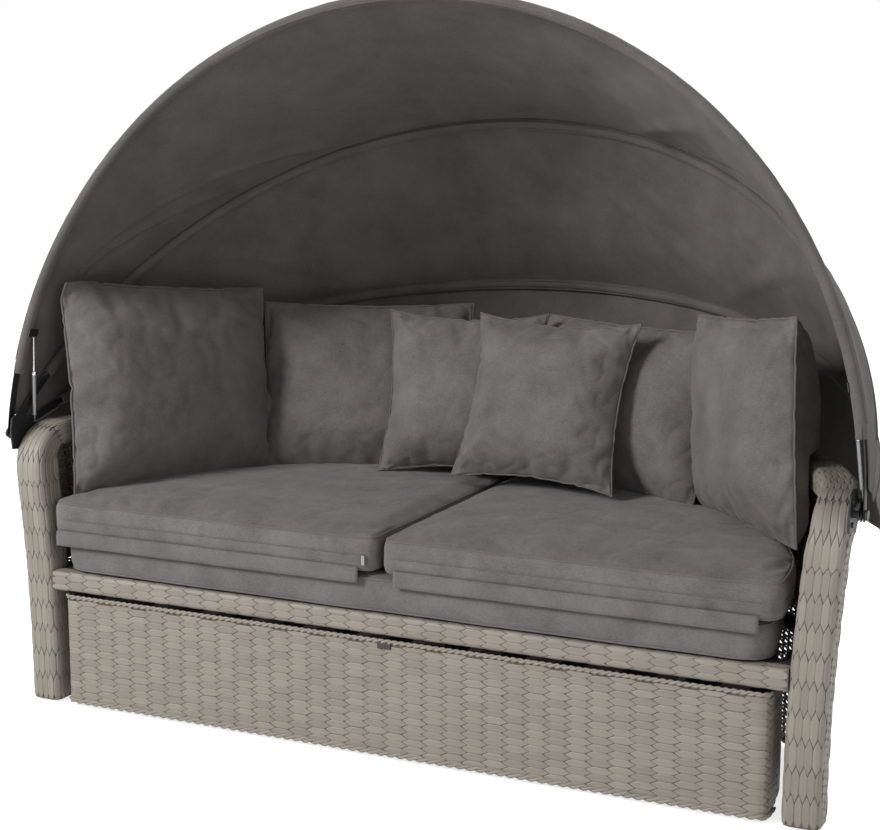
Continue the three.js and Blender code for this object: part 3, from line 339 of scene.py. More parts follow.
def turnedOut(points, faces):  # the faces of a closed shape that is wound one way, all turned outwards
    points = np.asarray(points, dtype=float)
    volume = 0.0
    for face in faces[:: max(1, len(faces) // 40000)]:
        for k in range(1, len(face) - 1):
            volume += float(np.dot(points[face[0]], np.cross(points[face[k]], points[face[k + 1]])))
    return [tuple(reversed(face)) for face in faces] if volume < 0 else faces


def makeActive(piece):
    bpy.ops.object.select_all(action="DESELECT")
    piece.select_set(True)
    bpy.context.view_layer.objects.active = piece


def applyModifier(piece, kind, name, **values):
    modifier = piece.modifiers.new(name, kind)
    for key, value in values.items():
        setattr(modifier, key, value)
    makeActive(piece)
    bpy.ops.object.modifier_apply(modifier=name)


def coordinates(piece):
    flat = np.empty(len(piece.data.vertices) * 3)
    piece.data.vertices.foreach_get("co", flat)
    return flat.reshape(-1, 3)


def setCoordinates(piece, points):
    piece.data.vertices.foreach_set("co", np.asarray(points, dtype=float).ravel())
    piece.data.update()


def vertexNormals(piece):
    flat = np.empty(len(piece.data.vertices) * 3, dtype=np.float32)
    piece.data.vertex_normals.foreach_get("vector", flat)
    return flat.reshape(-1, 3).astype(float)


def gridFaces(rows, count, base=0, wrapped=True):  # quads between rows of points
    faces = []
    for i in range(rows - 1):
        low, high = base + i * count, base + (i + 1) * count
        for j in range(count if wrapped else count - 1):
            k = (j + 1) % count
            faces.append((low + j, low + k, high + k, high + j))
    return faces


def loftRings(name, rings, material, tips):  # rings of points, closed with a fan at each end
    count = len(rings[0])
    points = np.array([p for ring in rings for p in ring] + list(tips))
    faces = gridFaces(len(rings), count)
    first, last, end = len(points) - 2, len(points) - 1, (len(rings) - 1) * count
    for j in range(count):
        k = (j + 1) % count
        faces.extend([(first, k, j), (last, end + j, end + k)])
    return meshPiece(name, points, turnedOut(points - points.mean(axis=0), faces), material)


def tubeAlong(name, path, radius, material, sides=8, closed=False):  # a round tube along a path
    path = np.asarray(path, dtype=float)
    count = len(path)
    ahead = np.roll(path, -1, axis=0) - np.roll(path, 1, axis=0)
    if not closed:
        ahead[0], ahead[-1] = path[1] - path[0], path[-1] - path[-2]
    ahead /= np.linalg.norm(ahead, axis=1)[:, None]
    side = np.cross(ahead[0], (0.31, 0.17, 0.93))
    points = []
    for i, size in enumerate(np.broadcast_to(radius, count)):
        side = unit(side - ahead[i] * np.dot(side, ahead[i]))
        other = np.cross(ahead[i], side)
        for k in range(sides):
            angle = 2 * math.pi * k / sides
            points.append(path[i] + size * (math.cos(angle) * side + math.sin(angle) * other))
    faces = gridFaces(count, sides)
    base = (count - 1) * sides
    if closed:  # the last ring may be turned against the first, so the join takes the nearest points
        start, end = np.array(points[:sides]), np.array(points[-sides:])
        turn = int(np.argmin([np.abs(end - np.roll(start, -k, axis=0)).sum() for k in range(sides)]))
        for k in range(sides):
            m = (k + 1) % sides
            faces.append((base + k, base + m, (m + turn) % sides, (k + turn) % sides))
    else:
        faces.append(tuple(reversed(range(sides))))
        faces.append(tuple(range(base, base + sides)))
    return meshPiece(name, points, turnedOut(np.array(points) - points[0], faces), material)


def gridSheet(name, rows, material, thickness):  # rows of points made into a sheet with thickness
    faces = gridFaces(len(rows), len(rows[0]), wrapped=False)
    piece = meshPiece(name, [p for row in rows for p in row], faces, material)
    applyModifier(piece, "SOLIDIFY", "cloth", thickness=thickness, offset=0)
    return piece


def sheetArea(rows):
    rows = np.array(rows)
    a = rows[1:, 1:] - rows[:-1, :-1]
    b = rows[1:, :-1] - rows[:-1, 1:]
    return float(np.linalg.norm(np.cross(a, b), axis=2).sum() / 2)


# Woven strands

cell = {
    "along": 8, "over": 6, "rise": 0.0022, "groove": 0.0004, "edge": 0.0007, "sink": -0.0004,
    "taper": 0.54, "tip": 1.25, "overlap": 1.30, "stray": 0.05, "uneven": 0.0003,
}
weave = {  # stake pitch and strand pitch
    "leg": (0.060, 0.0069), "legSide": (0.024, 0.0085), "rail": (0.049, 0.0088), "panel": (0.049, 0.0085),
}
dice = random.Random(7)


def strandCell():  # one visible bump of a strand, modelled once on a grid
    bpy.ops.mesh.primitive_grid_add(x_subdivisions=cell["along"], y_subdivisions=cell["over"], size=2)
    blank = bpy.context.object
    flat = coordinates(blank)
    faces = [tuple(p.vertices) for p in blank.data.polygons]
    bpy.data.objects.remove(blank)
    b = np.interp(flat[:, 1], np.linspace(-1, 1, 7), [-1, -0.9, -0.5, 0, 0.5, 0.9, 1])
    a = np.interp(flat[:, 0], np.linspace(-1, 1, 9), [-1, -0.88, -0.70, -0.45, 0, 0.45, 0.70, 0.88, 1])
    width = np.clip((1 - np.abs(a)) / (1 - cell["taper"]), 0.02, 1) ** cell["tip"]
    height = cell["rise"] * np.cos(a * quarter) ** 0.7 - cell["groove"] * (np.abs(b) < 0.1)
    height = np.where(np.abs(b) > 0.99, height - cell["edge"], height)
    height = np.where(np.abs(a) > 0.99, cell["sink"], height)
    return a, b * width, height, faces


cellA, cellB, cellH, cellFaces = strandCell()


def layStrands(table, gather, alongEnds, acrossEnds, pitches, turned=False, wrapped=False, relief=1.0):
    spanA, spanB = alongEnds[1] - alongEnds[0], acrossEnds[1] - acrossEnds[0]
    if turned:
        spanA, spanB = spanB, spanA
    columns = max(1, round(spanA / pitches[0]))
    rows = max(2, round(spanB / pitches[1]))
    if wrapped:
        rows += rows % 2
    stake, strand = spanA / columns, spanB / rows
    for k in range(columns):
        for j in range(k % 2, rows, 2):
            a = cellA * stake / 2 * cell["overlap"] + (k + 0.5) * stake
            b = cellB * strand + (j + 0.5) * strand + dice.uniform(-cell["stray"], cell["stray"]) * strand
            h = cellH * relief + dice.uniform(-cell["uneven"], cell["uneven"])
            along, across = (b, a) if turned else (a, b)
            along = np.clip(along + alongEnds[0], *alongEnds)
            across = across + acrossEnds[0]
            if not wrapped:
                across = np.clip(across, *acrossEnds)
            placed = onTable(table, along, across, h)
            rise = placed - onTable(table, along, across, h - 0.01)
            face = cellFaces[len(cellFaces) // 2]
            p, q, r = placed[list(face[:3])]
            gather["points"].append(placed)
            gather["flips"].append(bool(np.dot(np.cross(q - p, r - q), rise[face[0]]) < 0))
            shift = (dice.uniform(0, 50), dice.uniform(0, 5))
            gather["uvs"].append(np.stack([cellA * stake / 2 + shift[0], cellB * strand + shift[1]], axis=1))
            gather["tones"].append(np.full(len(cellA), dice.random()))


def newGather():
    return {"points": [], "uvs": [], "tones": [], "flips": []}


def finishStrands(piece, uvs, tones, body):
    layer = piece.data.uv_layers.new(name="strand")
    index = np.empty(len(piece.data.loops), dtype=np.int32)
    piece.data.loops.foreach_get("vertex_index", index)
    layer.data.foreach_set("uv", uvs[index].astype(np.float32).ravel())
    attribute = piece.data.attributes.new("strandTone", "FLOAT", "POINT")
    attribute.data.foreach_set("value", tones.astype(np.float32))
    carry(piece, body)


def strandPiece(name, gather, body):
    faces = []
    for n, flip in enumerate(gather["flips"]):
        order = -1 if flip else 1
        faces.extend(tuple(v + n * len(cellA) for v in face[::order]) for face in cellFaces)
    piece = meshPiece(name, np.concatenate(gather["points"]), faces, strandFinish)
    finishStrands(piece, np.concatenate(gather["uvs"]), np.concatenate(gather["tones"]), body)
    return piece


def wovenPiece(name, body, table, pitches, short=0.0, **style):  # strands all over a table
    gather = newGather()
    layStrands(table, gather, (0.0, table["lengths"][-1]), (0.0, table["girth"] - short), pitches, **style)
    strandPiece(name, gather, body)


def mirrored(points):
    return [p * np.array([-1, 1, 1]) for p in points]


armSteps = {"leg": 24, "bend": 12, "sideEnds": 9, "rim": 40, "back": 90, "around": 96}


def rimStation(angle):
    centre = planPoint(rimCentreX, rimCentreBack, angle, rim["top"] - rim["thickness"] / 2)
    across = planNormal(rimCentreX, rimCentreBack, angle)
    return centre, across, upward, rim["width"], rim["thickness"], rim["corner"]


def armStations():  # up the leg, round its bend and back along the rim
    stations = []
    bend, inner = rim["bend"], rim["bend"] - leg["depth"]
    bendStart = rim["top"] - bend
    for i in range(armSteps["leg"]):
        z = leg["bottom"] + (bendStart - leg["bottom"]) * i / armSteps["leg"]
        centre = vec(legOuter(z) - rim["width"] / 2, frontY + leg["depth"] / 2, z)
        stations.append((centre, vec(1, 0, 0), forward, rim["width"], leg["depth"], rim["corner"]))
    for i in range(armSteps["bend"] + 1):
        turn = i / armSteps["bend"] * quarter
        cosine, sine = math.cos(turn), math.sin(turn)
        outerEdge = np.array([bend - bend * cosine, bendStart + bend * sine])
        innerEdge = np.array([bend - inner * cosine, rimBottom - inner + inner * sine])
        depth = float(np.linalg.norm(outerEdge - innerEdge))
        out = (outerEdge - innerEdge) / depth
        y, z = (outerEdge + innerEdge) / 2
        angle = math.asin(max(0.0, y - plan["centreY"]) / rimCentreBack)
        x = (legOuter(outerEdge[1]) - rim["width"] / 2) * math.cos(angle)
        across = planNormal(rimCentreX, rimCentreBack, angle)
        stations.append((vec(x, frontY + y, z), across, vec(0, *out), rim["width"], depth, rim["corner"]))
    start = math.asin((bend - plan["centreY"]) / rimCentreBack)
    span = plan["split"] - plan["gap"] - start
    return stations + [rimStation(start + span * i / armSteps["rim"]) for i in range(1, armSteps["rim"] + 1)]


def buildArms():
    table = tubeTable(armStations(), armSteps["around"])
    girth = table["girth"]
    bendEnd = table["lengths"][armSteps["leg"] + armSteps["sideEnds"]]
    flat = leg["depth"] - 2 * rim["corner"]
    edge = flat / (4 * flat + 2 * math.pi * rim["corner"]) * girth
    low = (leg["strandStart"], bendEnd)
    for side in ("right", "left"):
        gather = newGather()
        layStrands(table, gather, low, (edge, girth), weave["leg"])
        layStrands(table, gather, low, (0.0, edge), weave["legSide"], turned=True)
        layStrands(table, gather, (bendEnd, table["lengths"][-1]), (0.0, girth), weave["leg"], wrapped=True)
        if side == "left":
            gather["points"] = mirrored(gather["points"])
        piece = strandPiece(side + "ArmWeave", gather, "daybed")
        if side == "left":
            piece.data.flip_normals()
    steps, span = armSteps["back"], math.pi - 2 * plan["split"]
    back = [rimStation(plan["split"] + span * i / steps) for i in range(steps + 1)]
    back = tubeTable(back, armSteps["around"])
    wovenPiece("backRailWeave", "daybed", back, weave["leg"], wrapped=True)


railShape = {"corner": 0.008, "stations": 60, "around": 64, "relief": 0.75}


def buildRail():
    low, high = [np.array(end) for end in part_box("front_rail")]
    size, (_, y, z) = high - low, (low + high) / 2
    stations = []
    for x in np.linspace(low[0], high[0], railShape["stations"]):
        stations.append((vec(x, y, z), vec(0, 1, 0), upward, size[1], size[2], railShape["corner"]))
    table = tubeTable(stations, railShape["around"])
    wovenPiece("frontRailWeave", "daybed", table, weave["rail"], wrapped=True, relief=railShape["relief"])


stool = {
    "halfWidth": 0.886, "bottom": 0.012, "top": 0.276, "sideReturn": 0.062, "corner": 0.018, "back": 0.742,
    "inset": 0.006, "wallTop": 0.270, "gap": 0.0004, "topTrim": 0.001,
}
twist = {"step": 0.008, "sides": 6, "lift": 0.0022, "flatness": 0.6, "grain": 0.02, "tones": (0.35, 0.75)}
panelFlat = stool["halfWidth"] - stool["corner"]
panelArc = stool["corner"] * quarter
panelHalf = stool["sideReturn"] - stool["corner"] + panelArc + panelFlat


def panelPlace(distance, z):  # a point and normal on the footstool's front, from left return to right
    corner = stool["corner"]
    side = 1 if distance > panelHalf else -1
    left = abs(distance - panelHalf)
    if left <= panelFlat:
        return vec(side * left, frontY, z), forward
    left -= panelFlat
    if left <= panelArc:
        sine, cosine = math.sin(left / corner), math.cos(left / corner)
        point = vec(side * (panelFlat + corner * sine), frontY + corner - corner * cosine, z)
        return point, vec(side * sine, -cosine, 0)
    return vec(side * stool["halfWidth"], frontY + corner + left - panelArc, z), vec(side, 0, 0)


def twistedEdge(name, z, radius, pitch, spread):  # two strands twisted along the footstool's front
    length, sides, flatness = 2 * panelHalf, twist["sides"], twist["flatness"]
    count = int(length / twist["step"])
    points, faces, uvs, tones = [], [], [], []
    for strand in range(2):
        base = len(points)
        for i in range(count + 1):
            point, normal = panelPlace(i / count * length, z)
            phase = 2 * math.pi * i / count * round(length / pitch) + strand * math.pi
            centre = point + normal * (twist["lift"] + spread * flatness * math.cos(phase))
            centre += upward * spread * math.sin(phase)
            for k in range(sides):
                angle = 2 * math.pi * k / sides
                around = math.cos(angle) * normal * flatness + math.sin(angle) * upward
                points.append(centre + radius * around)
                uvs.append((i * length / count, k / sides * twist["grain"]))
                tones.append(twist["tones"][strand])
        faces.extend(gridFaces(count + 1, sides, base))
        faces.append(tuple(base + k for k in reversed(range(sides))))
        faces.append(tuple(base + count * sides + k for k in range(sides)))
    piece = meshPiece(name, points, turnedOut(np.array(points) - points[0], faces), strandFinish)
    finishStrands(piece, np.array(uvs), np.array(tones), "footstool")


def buildStoolPanel():
    zs = np.linspace(stool["bottom"], stool["top"], 12)
    table = gridTable(panelPlace, np.linspace(0, 2 * panelHalf, 260), zs)
    wovenPiece("stoolPanelWeave", "footstool", table, weave["panel"], short=stool["topTrim"])
    twistedEdge("stoolPanelEdge", stool["top"] + 0.005, 0.0036, 0.034, 0.0030)
    twistedEdge("stoolPanelFoot", stool["bottom"] + 0.004, 0.0042, 0.050, 0.0036)


def buildStoolWall():
    halfWidth, back = stool["halfWidth"] - stool["inset"], stool["back"] - stool["sideReturn"]

    def place(angle, z):
        point = planPoint(halfWidth, back, angle, z, stool["sideReturn"] + stool["gap"])
        return point, planNormal(halfWidth, back, angle)

    table = gridTable(place, np.linspace(0, math.pi, 160), np.linspace(stool["bottom"], stool["wallTop"], 8))
    wovenPiece("stoolWallWeave", "footstool", table, weave["panel"])


lattice = {
    "stake": 0.025, "strand": 0.0092, "width": 0.0064, "thick": 0.0016, "wave": 0.0019, "open": 0.0012,
    "steps": 4, "stakeHalf": 0.0054, "stakeSteps": 26, "stakeTrim": 0.002, "solidRows": 2, "solidHalf": 0.53,
    "openTop": 0.345, "bendGap": 0.003, "grain": 3,
}


def wallTop(y):  # the wall dips under the bend of the arm
    inner = rim["bend"] - leg["depth"]
    fromBend = rim["bend"] - y
    if fromBend <= 0:
        return rimBottom - wall["gap"]
    return rimBottom - inner + math.sqrt(max(0.0, inner ** 2 - fromBend ** 2)) - lattice["bendGap"]


def buildOpenWall(name, fromAngle, toAngle, replaced, mirror=False):
    def place(angle, z):
        grow = wall["flare"] * flareShare(z)
        normal = planNormal(wall["halfWidth"], wall["back"], angle)
        point = planPoint(wall["halfWidth"] + grow, wall["back"] + grow, angle, z)
        return point - normal * wall["thickness"] / 2, normal

    low, high = wall["bottom"], rimBottom - wall["gap"]
    table = gridTable(place, np.linspace(fromAngle, toAngle, 80), np.linspace(low, high, 24))
    girth, length = table["girth"], table["lengths"][-1]
    columns, rows = round(length / lattice["stake"]), round((high - low) / lattice["strand"])
    stake, strand = length / columns, girth / rows
    xs = np.linspace(0, length, columns * lattice["steps"] + 1)
    ys = np.interp(xs, table["lengths"], table["points"][:, 0, 1]) - frontY
    tops = np.array([wallTop(y) for y in ys])
    points, faces, uvs, tones = [], [], [], []

    def bar(half, placed, along, grain, tone, keep):  # a flat strand with four sides
        base, run, thick = len(points), len(along), lattice["thick"] / 2
        for b, h in ((-half, -thick), (half, -thick), (half, thick), (-half, thick)):
            points.extend(placed(b, h))
            uvs.extend(zip(along, np.full(run, b + h * grain)))
            tones.extend([tone] * run)
        for i in range(run - 1):
            for q in range(4 if keep[i] and keep[i + 1] else 0):
                first, second = base + q * run + i, base + (q + 1) % 4 * run + i
                faces.append((first, first + 1, second + 1, second))

    for j in range(rows):
        sign = -1 if j % 2 else 1
        level = (j + 0.5) * strand
        closed = j < lattice["solidRows"] or low + (high - low) * level / girth > lattice["openTop"]
        lift = 0.0 if closed else lattice["open"]
        half = strand * lattice["solidHalf"] if closed else lattice["width"] / 2
        across = level + lift * sign * np.cos(math.pi * xs / stake)
        depth = lattice["wave"] * sign * np.sin(math.pi * xs / stake)
        keep = low + (high - low) * across / girth + half < tops
        tone = dice.random()
        uv = xs + dice.uniform(0, 50)
        bar(half, lambda b, h: onTable(table, xs, across + b, depth + h), uv, lattice["grain"], tone, keep)
    whole = np.ones(lattice["stakeSteps"])
    for k in range(columns):
        x = (k + 0.5) * stake
        top = float(np.interp(x, xs, tops)) - lattice["stakeTrim"]
        levels = np.linspace(0.0, girth * (top - low) / (high - low), len(whole))
        tone = dice.random() * 0.5
        half = lattice["stakeHalf"]
        bar(half, lambda b, h: onTable(table, whole * (x + b), levels, whole * h), levels, 0, tone, whole)
    points = np.array(mirrored(points) if mirror else points)
    used = sorted(set(v for face in faces for v in face))  # points of the runs that the dip cuts off go
    order = {v: k for k, v in enumerate(used)}
    faces = [tuple(order[v] for v in face) for face in faces]
    points, uvs, tones = points[used], np.array(uvs)[used], np.array(tones)[used]
    piece = meshPiece(name, points, turnedOut(points - points[0], faces), strandFinish)
    finishStrands(piece, uvs, tones, "daybed")
    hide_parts(replaced)


def buildWalls():
    start = math.asin((leg["depth"] + wall["legGap"] - plan["centreY"]) / wall["back"])
    buildOpenWall("rightWallWeave", start, plan["split"], "right_side_wall")
    buildOpenWall("leftWallWeave", start, plan["split"], "left_side_wall", mirror=True)
    buildOpenWall("backWallWeave", plan["split"], math.pi - plan["split"], "back_wall")


def dress(names, material):
    for name in names:
        nodes[name].data.materials.clear()
        nodes[name].data.materials.append(material)


# The solids under the strands take the backing's painted shade.
dress(("left_arm", "right_arm", "back_rail", "front_rail"), shadedBackingFinish)
dress(("footstool_front_panel", "footstool_wall"), shadedBackingFinish)
buildArms()
buildRail()
buildStoolPanel()
buildStoolWall()
buildWalls()
print("woven frame made")

# Cushions

largeCushions = {
    "left_side_cushion": {
        "x": -0.764, "y": 0.330, "width": 0.590, "height": 0.512, "turn": -26, "lean": 9, "drop": 0.06,
        "shift": 0.020,
    },
    "back_left_cushion": {
        "x": -0.398, "y": 0.660, "width": 0.566, "height": 0.455, "turn": -69, "lean": 16,
    },
    "back_right_cushion": {
        "x": 0.262, "y": 0.648, "width": 0.590, "height": 0.425, "turn": -109, "lean": 15, "shift": 0.035,
    },
    "right_side_cushion": {
        "x": 0.704, "y": 0.428, "width": 0.480, "height": 0.478, "turn": -137, "lean": 3, "drop": -0.05,
        "shift": -0.08, "behind": 0.115,
    },
}
throwPillows = {
    "throw_pillow_1": {
        "x": -0.104, "y": 0.606, "width": 0.425, "height": 0.425, "turn": -80, "lean": 17, "lift": 0.008,
    },
    "throw_pillow_2": {
        "x": 0.138, "y": 0.508, "width": 0.455, "height": 0.425, "turn": -97, "lean": 20, "lift": 0.020,
    },
}
largeStyle = {
    "seam": 0.004, "front": 0.056, "back": 0.076, "square": 2.6, "pull": 0.030, "cells": 46, "pressure": 3.4,
    "shrink": -0.035, "cap": 0.024, "fill": 0.75, "piping": 0.0030,
}
throwStyle = {
    "seam": 0.002, "front": 0.068, "back": 0.036, "square": 2.0, "pull": 0.100, "cells": 40, "pressure": 4.2,
    "shrink": -0.05, "cap": 0.022, "fill": 0.7, "piping": 0.0022,
}
bunching = 0.43  # how far the grid's lines are drawn towards the edges, as a share of a half turn


def cushionPlacer(name, place):
    facing, lean = math.radians(place["turn"]), math.radians(place["lean"])
    normal = vec(math.cos(facing), math.sin(facing), 0)
    across = vec(-normal[1], normal[0], 0)
    up = upward * math.cos(lean) - normal * math.sin(lean)
    behind = np.cross(across, up)
    if np.dot(behind, normal) > 0:
        behind = -behind
    base = vec(place["x"], place["y"] + frontY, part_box(name)[0][2] + place.get("lift", 0))

    def put(x, y, deep):  # x and deep in metres, y from the cushion's foot
        tall = y * (1 - place.get("drop", 0) * x / (place["width"] / 2))
        aside = x + place.get("shift", 0) * y / place["height"]
        return base + across * aside + up * tall + behind * deep

    return put


def pillowGrid(place, style, put):  # two sheets of quads that share the seam round the edge
    n = style["cells"]
    width, height, pull = place["width"], place["height"], style["pull"]
    turn = math.pi * bunching
    spots = [math.sin((k / n - 0.5) * 2 * turn) / math.sin(turn) for k in range(n + 1)]
    points, index, faces = [], {}, []
    depths = (-style["front"], place.get("behind", style["back"]))
    for side in (0, 1):
        for i, u in enumerate(spots):
            for j, v in enumerate(spots):
                if side and (i in (0, n) or j in (0, n)):
                    index[side, i, j] = index[0, i, j]
                    continue
                x = width / 2 * u * (1 - pull * (1 - v * v))
                y = height / 2 * v * (1 - pull * (1 - u * u)) + height / 2
                full = ((1 - abs(u) ** style["square"]) * (1 - abs(v) ** style["square"])) ** 0.5
                index[side, i, j] = len(points)
                points.append(put(x, y, style["seam"] + depths[side] * full))
        for i in range(n):
            for j in range(n):
                face = tuple(index[side, i + p, j + q] for p, q in ((0, 0), (1, 0), (1, 1), (0, 1)))
                faces.append(tuple(reversed(face)) if side else face)
    edges = [(k, 0) for k in range(n)] + [(n, k) for k in range(n)]
    edges += [(n - k, n) for k in range(n)] + [(0, n - k) for k in range(n)]
    return points, faces, [index[0, i, j] for i, j in edges]


canopyRoom = {"radius": 1.022, "share": 0.955, "pivotY": 0.032, "pivotZ": 0.671}
rimRoom = {"inset": 0.007, "above": 0.006, "fade": 0.012}


def tuckIn(points):  # under the canopy and inside the rim, as the CAD solids are
    points = points.copy()
    y = points[:, 1] - frontY - canopyRoom["pivotY"]
    z = points[:, 2] - canopyRoom["pivotZ"]
    spread = np.hypot(points[:, 0], np.hypot(y, z) / canopyRoom["share"])
    outside = (points[:, 2] > rim["top"]) & (spread > canopyRoom["radius"])
    scale = np.where(outside, canopyRoom["radius"] / spread, 1.0)
    points[:, 0] *= scale
    points[:, 1] = frontY + canopyRoom["pivotY"] + y * scale
    points[:, 2] = canopyRoom["pivotZ"] + z * scale
    inset = rim["width"] + rimRoom["inset"]
    dy = points[:, 1] - frontY - plan["centreY"]
    reach = np.hypot(points[:, 0] / (rim["halfWidth"] - inset), dy / (rim["back"] - inset))
    above = np.clip((points[:, 2] - rim["top"] - rimRoom["above"]) / rimRoom["fade"], 0, 1)
    wanted = np.maximum(1.0, above * reach)
    scale = np.where((reach > 1) & (dy > 0), wanted / np.maximum(reach, 1e-6), 1.0)
    points[:, 0] *= scale
    points[:, 1] = frontY + plan["centreY"] + dy * scale
    return points


clothRun = {
    "quality": 4, "mass": 0.25, "tension_stiffness": 12, "compression_stiffness": 8, "shear_stiffness": 4,
    "bending_stiffness": 0.2, "use_pressure": True, "vertex_group_mass": "seams", "pin_stiffness": 0.6,
}
clothFrames = 20


def pinNear(piece, paths, reach):
    group = piece.vertex_groups.new(name="seams")
    seam = np.concatenate([np.asarray(p) for p in paths])
    for vertex in piece.data.vertices:
        distance = np.min(np.linalg.norm(seam - np.array(vertex.co), axis=1))
        if distance < reach:
            group.add([vertex.index], 1.0 - 0.5 * distance / reach, "REPLACE")


def inflate(piece, style):  # the group named seams holds the piece while its cloth fills out
    before = coordinates(piece)
    cloth = piece.modifiers.new("cloth", "CLOTH")
    for key, value in clothRun.items():
        setattr(cloth.settings, key, value)
    cloth.settings.uniform_pressure_force = style["pressure"]
    cloth.settings.shrink_min = style["shrink"]
    cloth.settings.effector_weights.gravity = 0
    cloth.point_cache.frame_start = 1
    cloth.point_cache.frame_end = clothFrames
    for number in range(1, clothFrames + 1):
        scene.frame_set(number)
    makeActive(piece)
    bpy.ops.object.modifier_apply(modifier="cloth")
    scene.frame_set(1)
    move = coordinates(piece) - before
    size = np.linalg.norm(move, axis=1)
    print(piece.name, "moved", round(float(size.mean()), 4), "most", round(float(size.max()), 4))
    move *= np.minimum(1.0, style["cap"] / np.maximum(size, 1e-9))[:, None]
    setCoordinates(piece, before + move)
    piece.vertex_groups.clear()


def crease(piece, seed, size, depth):  # soft dents and folds
    points, normals = coordinates(piece), vertexNormals(piece)
    for i, (p, n) in enumerate(zip(points, normals)):
        q = Vector(p) / size + Vector((seed, seed * 0.7, 0))
        ridge = 1 - abs(noise.noise(q * 2.1 + Vector((5, 1, 3))))
        points[i] = p + n * depth * (0.7 * noise.noise(q) - 0.8 * ridge ** 6)
    setCoordinates(piece, points)


def treeOf(piece):
    corners = [tuple(p.vertices) for p in piece.data.polygons]
    return BVHTree.FromPolygons([v.co for v in piece.data.vertices], corners)


def onto(tree, points, lift):  # nearest places on a surface, lifted off it
    placed = []
    for p in points:
        hit, normal, _, _ = tree.find_nearest(Vector(p))
        placed.append(np.array(hit) + np.array(normal) * lift)
    return np.array(placed)


def smoothPath(points, rounds):
    for _ in range(rounds):
        points = (np.roll(points, 1, axis=0) + 2 * points + np.roll(points, -1, axis=0)) / 4
    return points


def rested(points, level, gap=0.002, soft=0.008):  # nothing lies lower than the seat
    points = points.copy()
    z, floor = points[:, 2], level + gap + soft
    points[:, 2] = np.where(z < floor, floor - soft + soft * np.exp((z - floor) / soft), z)
    return points


def sewnLines(title, piece, loops, radii, lift):  # piping laid on a cover
    tree = treeOf(piece)
    for k, (loop, radius) in enumerate(zip(loops, radii)):
        path = smoothPath(onto(tree, loop, lift), 2)
        piping = tubeAlong(f"{title}Piping{k + 1}", path, radius, pipingFinish, sides=7, closed=True)
        carry(piping, "daybed")


def finishCover(piece, replaced, fill):
    carry(piece, "daybed")
    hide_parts(replaced)


def buildCushion(name, place, style, seed):
    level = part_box(name)[0][2]
    points, faces, rimLoop = pillowGrid(place, style, cushionPlacer(name, place))
    points = rested(np.array(points), level)
    first, *rest = name.split("_")
    title = first + "".join(word.capitalize() for word in rest)
    faces = turnedOut(points - points.mean(axis=0), faces)
    piece = meshPiece(title + "Cover", points, faces, cushionFinish)
    piece.vertex_groups.new(name="seams").add(rimLoop, 0.8, "REPLACE")
    inflate(piece, style)
    setCoordinates(piece, tuckIn(rested(coordinates(piece), level)))
    edge = coordinates(piece)[rimLoop]
    piece.vertex_groups.clear()
    applyModifier(piece, "SUBSURF", "finer", levels=1, render_levels=1)
    crease(piece, seed, 0.11, 0.0034)
    piece.data.shade_smooth()
    path = (edge + onto(treeOf(piece), edge, 0.0008)) / 2
    piping = tubeAlong(title + "Piping", path, style["piping"], pipingFinish, sides=7, closed=True)
    carry(piping, "daybed")
    finishCover(piece, name, style["fill"])


seatShape = {
    "front": -0.005, "back": 0.816, "corner": 0.030, "split": -0.018, "gap": 0.003, "rightEnd": 0.906,
    "leftEnd": 0.920, "bottom": 0.4304, "edgeTop": 0.520, "crown": 0.015, "voxel": 0.013, "pressure": 2.2,
    "shrink": -0.012, "cap": 0.009, "fill": 0.85, "step": 0.012,
}
seatProfile = (
    (0.026, 0.0), (0.010, 0.004), (0.002, 0.014), (0.002, 0.040), (0.006, 0.0455), (0.002, 0.051),
    (0.002, 0.078), (0.008, 0.0895),
)  # inset and height of each ring
seatCrown = ((0.9, 0.35), (0.72, 0.7), (0.45, 0.92), (0.2, 1.0))  # share of the outline and of the crown
seatSeams = ((0.005, 0.5165, 0.0026), (0.003, 0.476, 0.0016), (0.004, 0.4365, 0.0026))  # inset, z and radius


def arcPath(cx, cy, rx, ry, start, end, steps):
    turns = [start + (end - start) * i / steps for i in range(steps + 1)]
    return [(cx + rx * math.cos(turn), cy + ry * math.sin(turn)) for turn in turns]


def evenPath(points, spacing):  # the closed outline again, in even steps
    points = np.array(points + points[:1], dtype=float)
    along = np.concatenate([[0], np.cumsum(np.linalg.norm(np.diff(points, axis=0), axis=1))])
    wanted = np.linspace(0, along[-1], int(along[-1] / spacing), endpoint=False)
    return np.stack([np.interp(wanted, along, points[:, k]) for k in (0, 1)], axis=1)


def seatOutline(left, right):
    s = seatShape
    back, corner = s["back"] - plan["centreY"], s["corner"]
    middle = s["front"] + corner
    start = math.asin((middle - plan["centreY"]) / back)
    end = math.acos((left + corner) / right)
    rear = plan["centreY"] + back * math.sin(end) - corner
    return evenPath(
        arcPath(right - corner, middle, corner, corner, -quarter, 0, 8)[:-1]
        + arcPath(0, plan["centreY"], right, back, start, end, 60)
        + arcPath(left + corner, rear, corner, corner, quarter, 2 * quarter, 8)[1:]
        + arcPath(left + corner, middle, corner, corner, 2 * quarter, 3 * quarter, 8),
        s["step"],
    )


def insetLoop(outline, inset):  # moves each point of a loop inwards along its normal
    ahead = np.roll(outline, -1, axis=0) - np.roll(outline, 1, axis=0)
    ahead /= np.linalg.norm(ahead, axis=1)[:, None]
    return outline + np.stack([-ahead[:, 1], ahead[:, 0]], axis=1) * inset


def ring3(loop, z):
    return [vec(x, y + frontY, z) for x, y in loop]


def shrunk(outline, inset, share):
    middle = outline.mean(axis=0)
    return middle + (insetLoop(outline, inset) - middle) * share


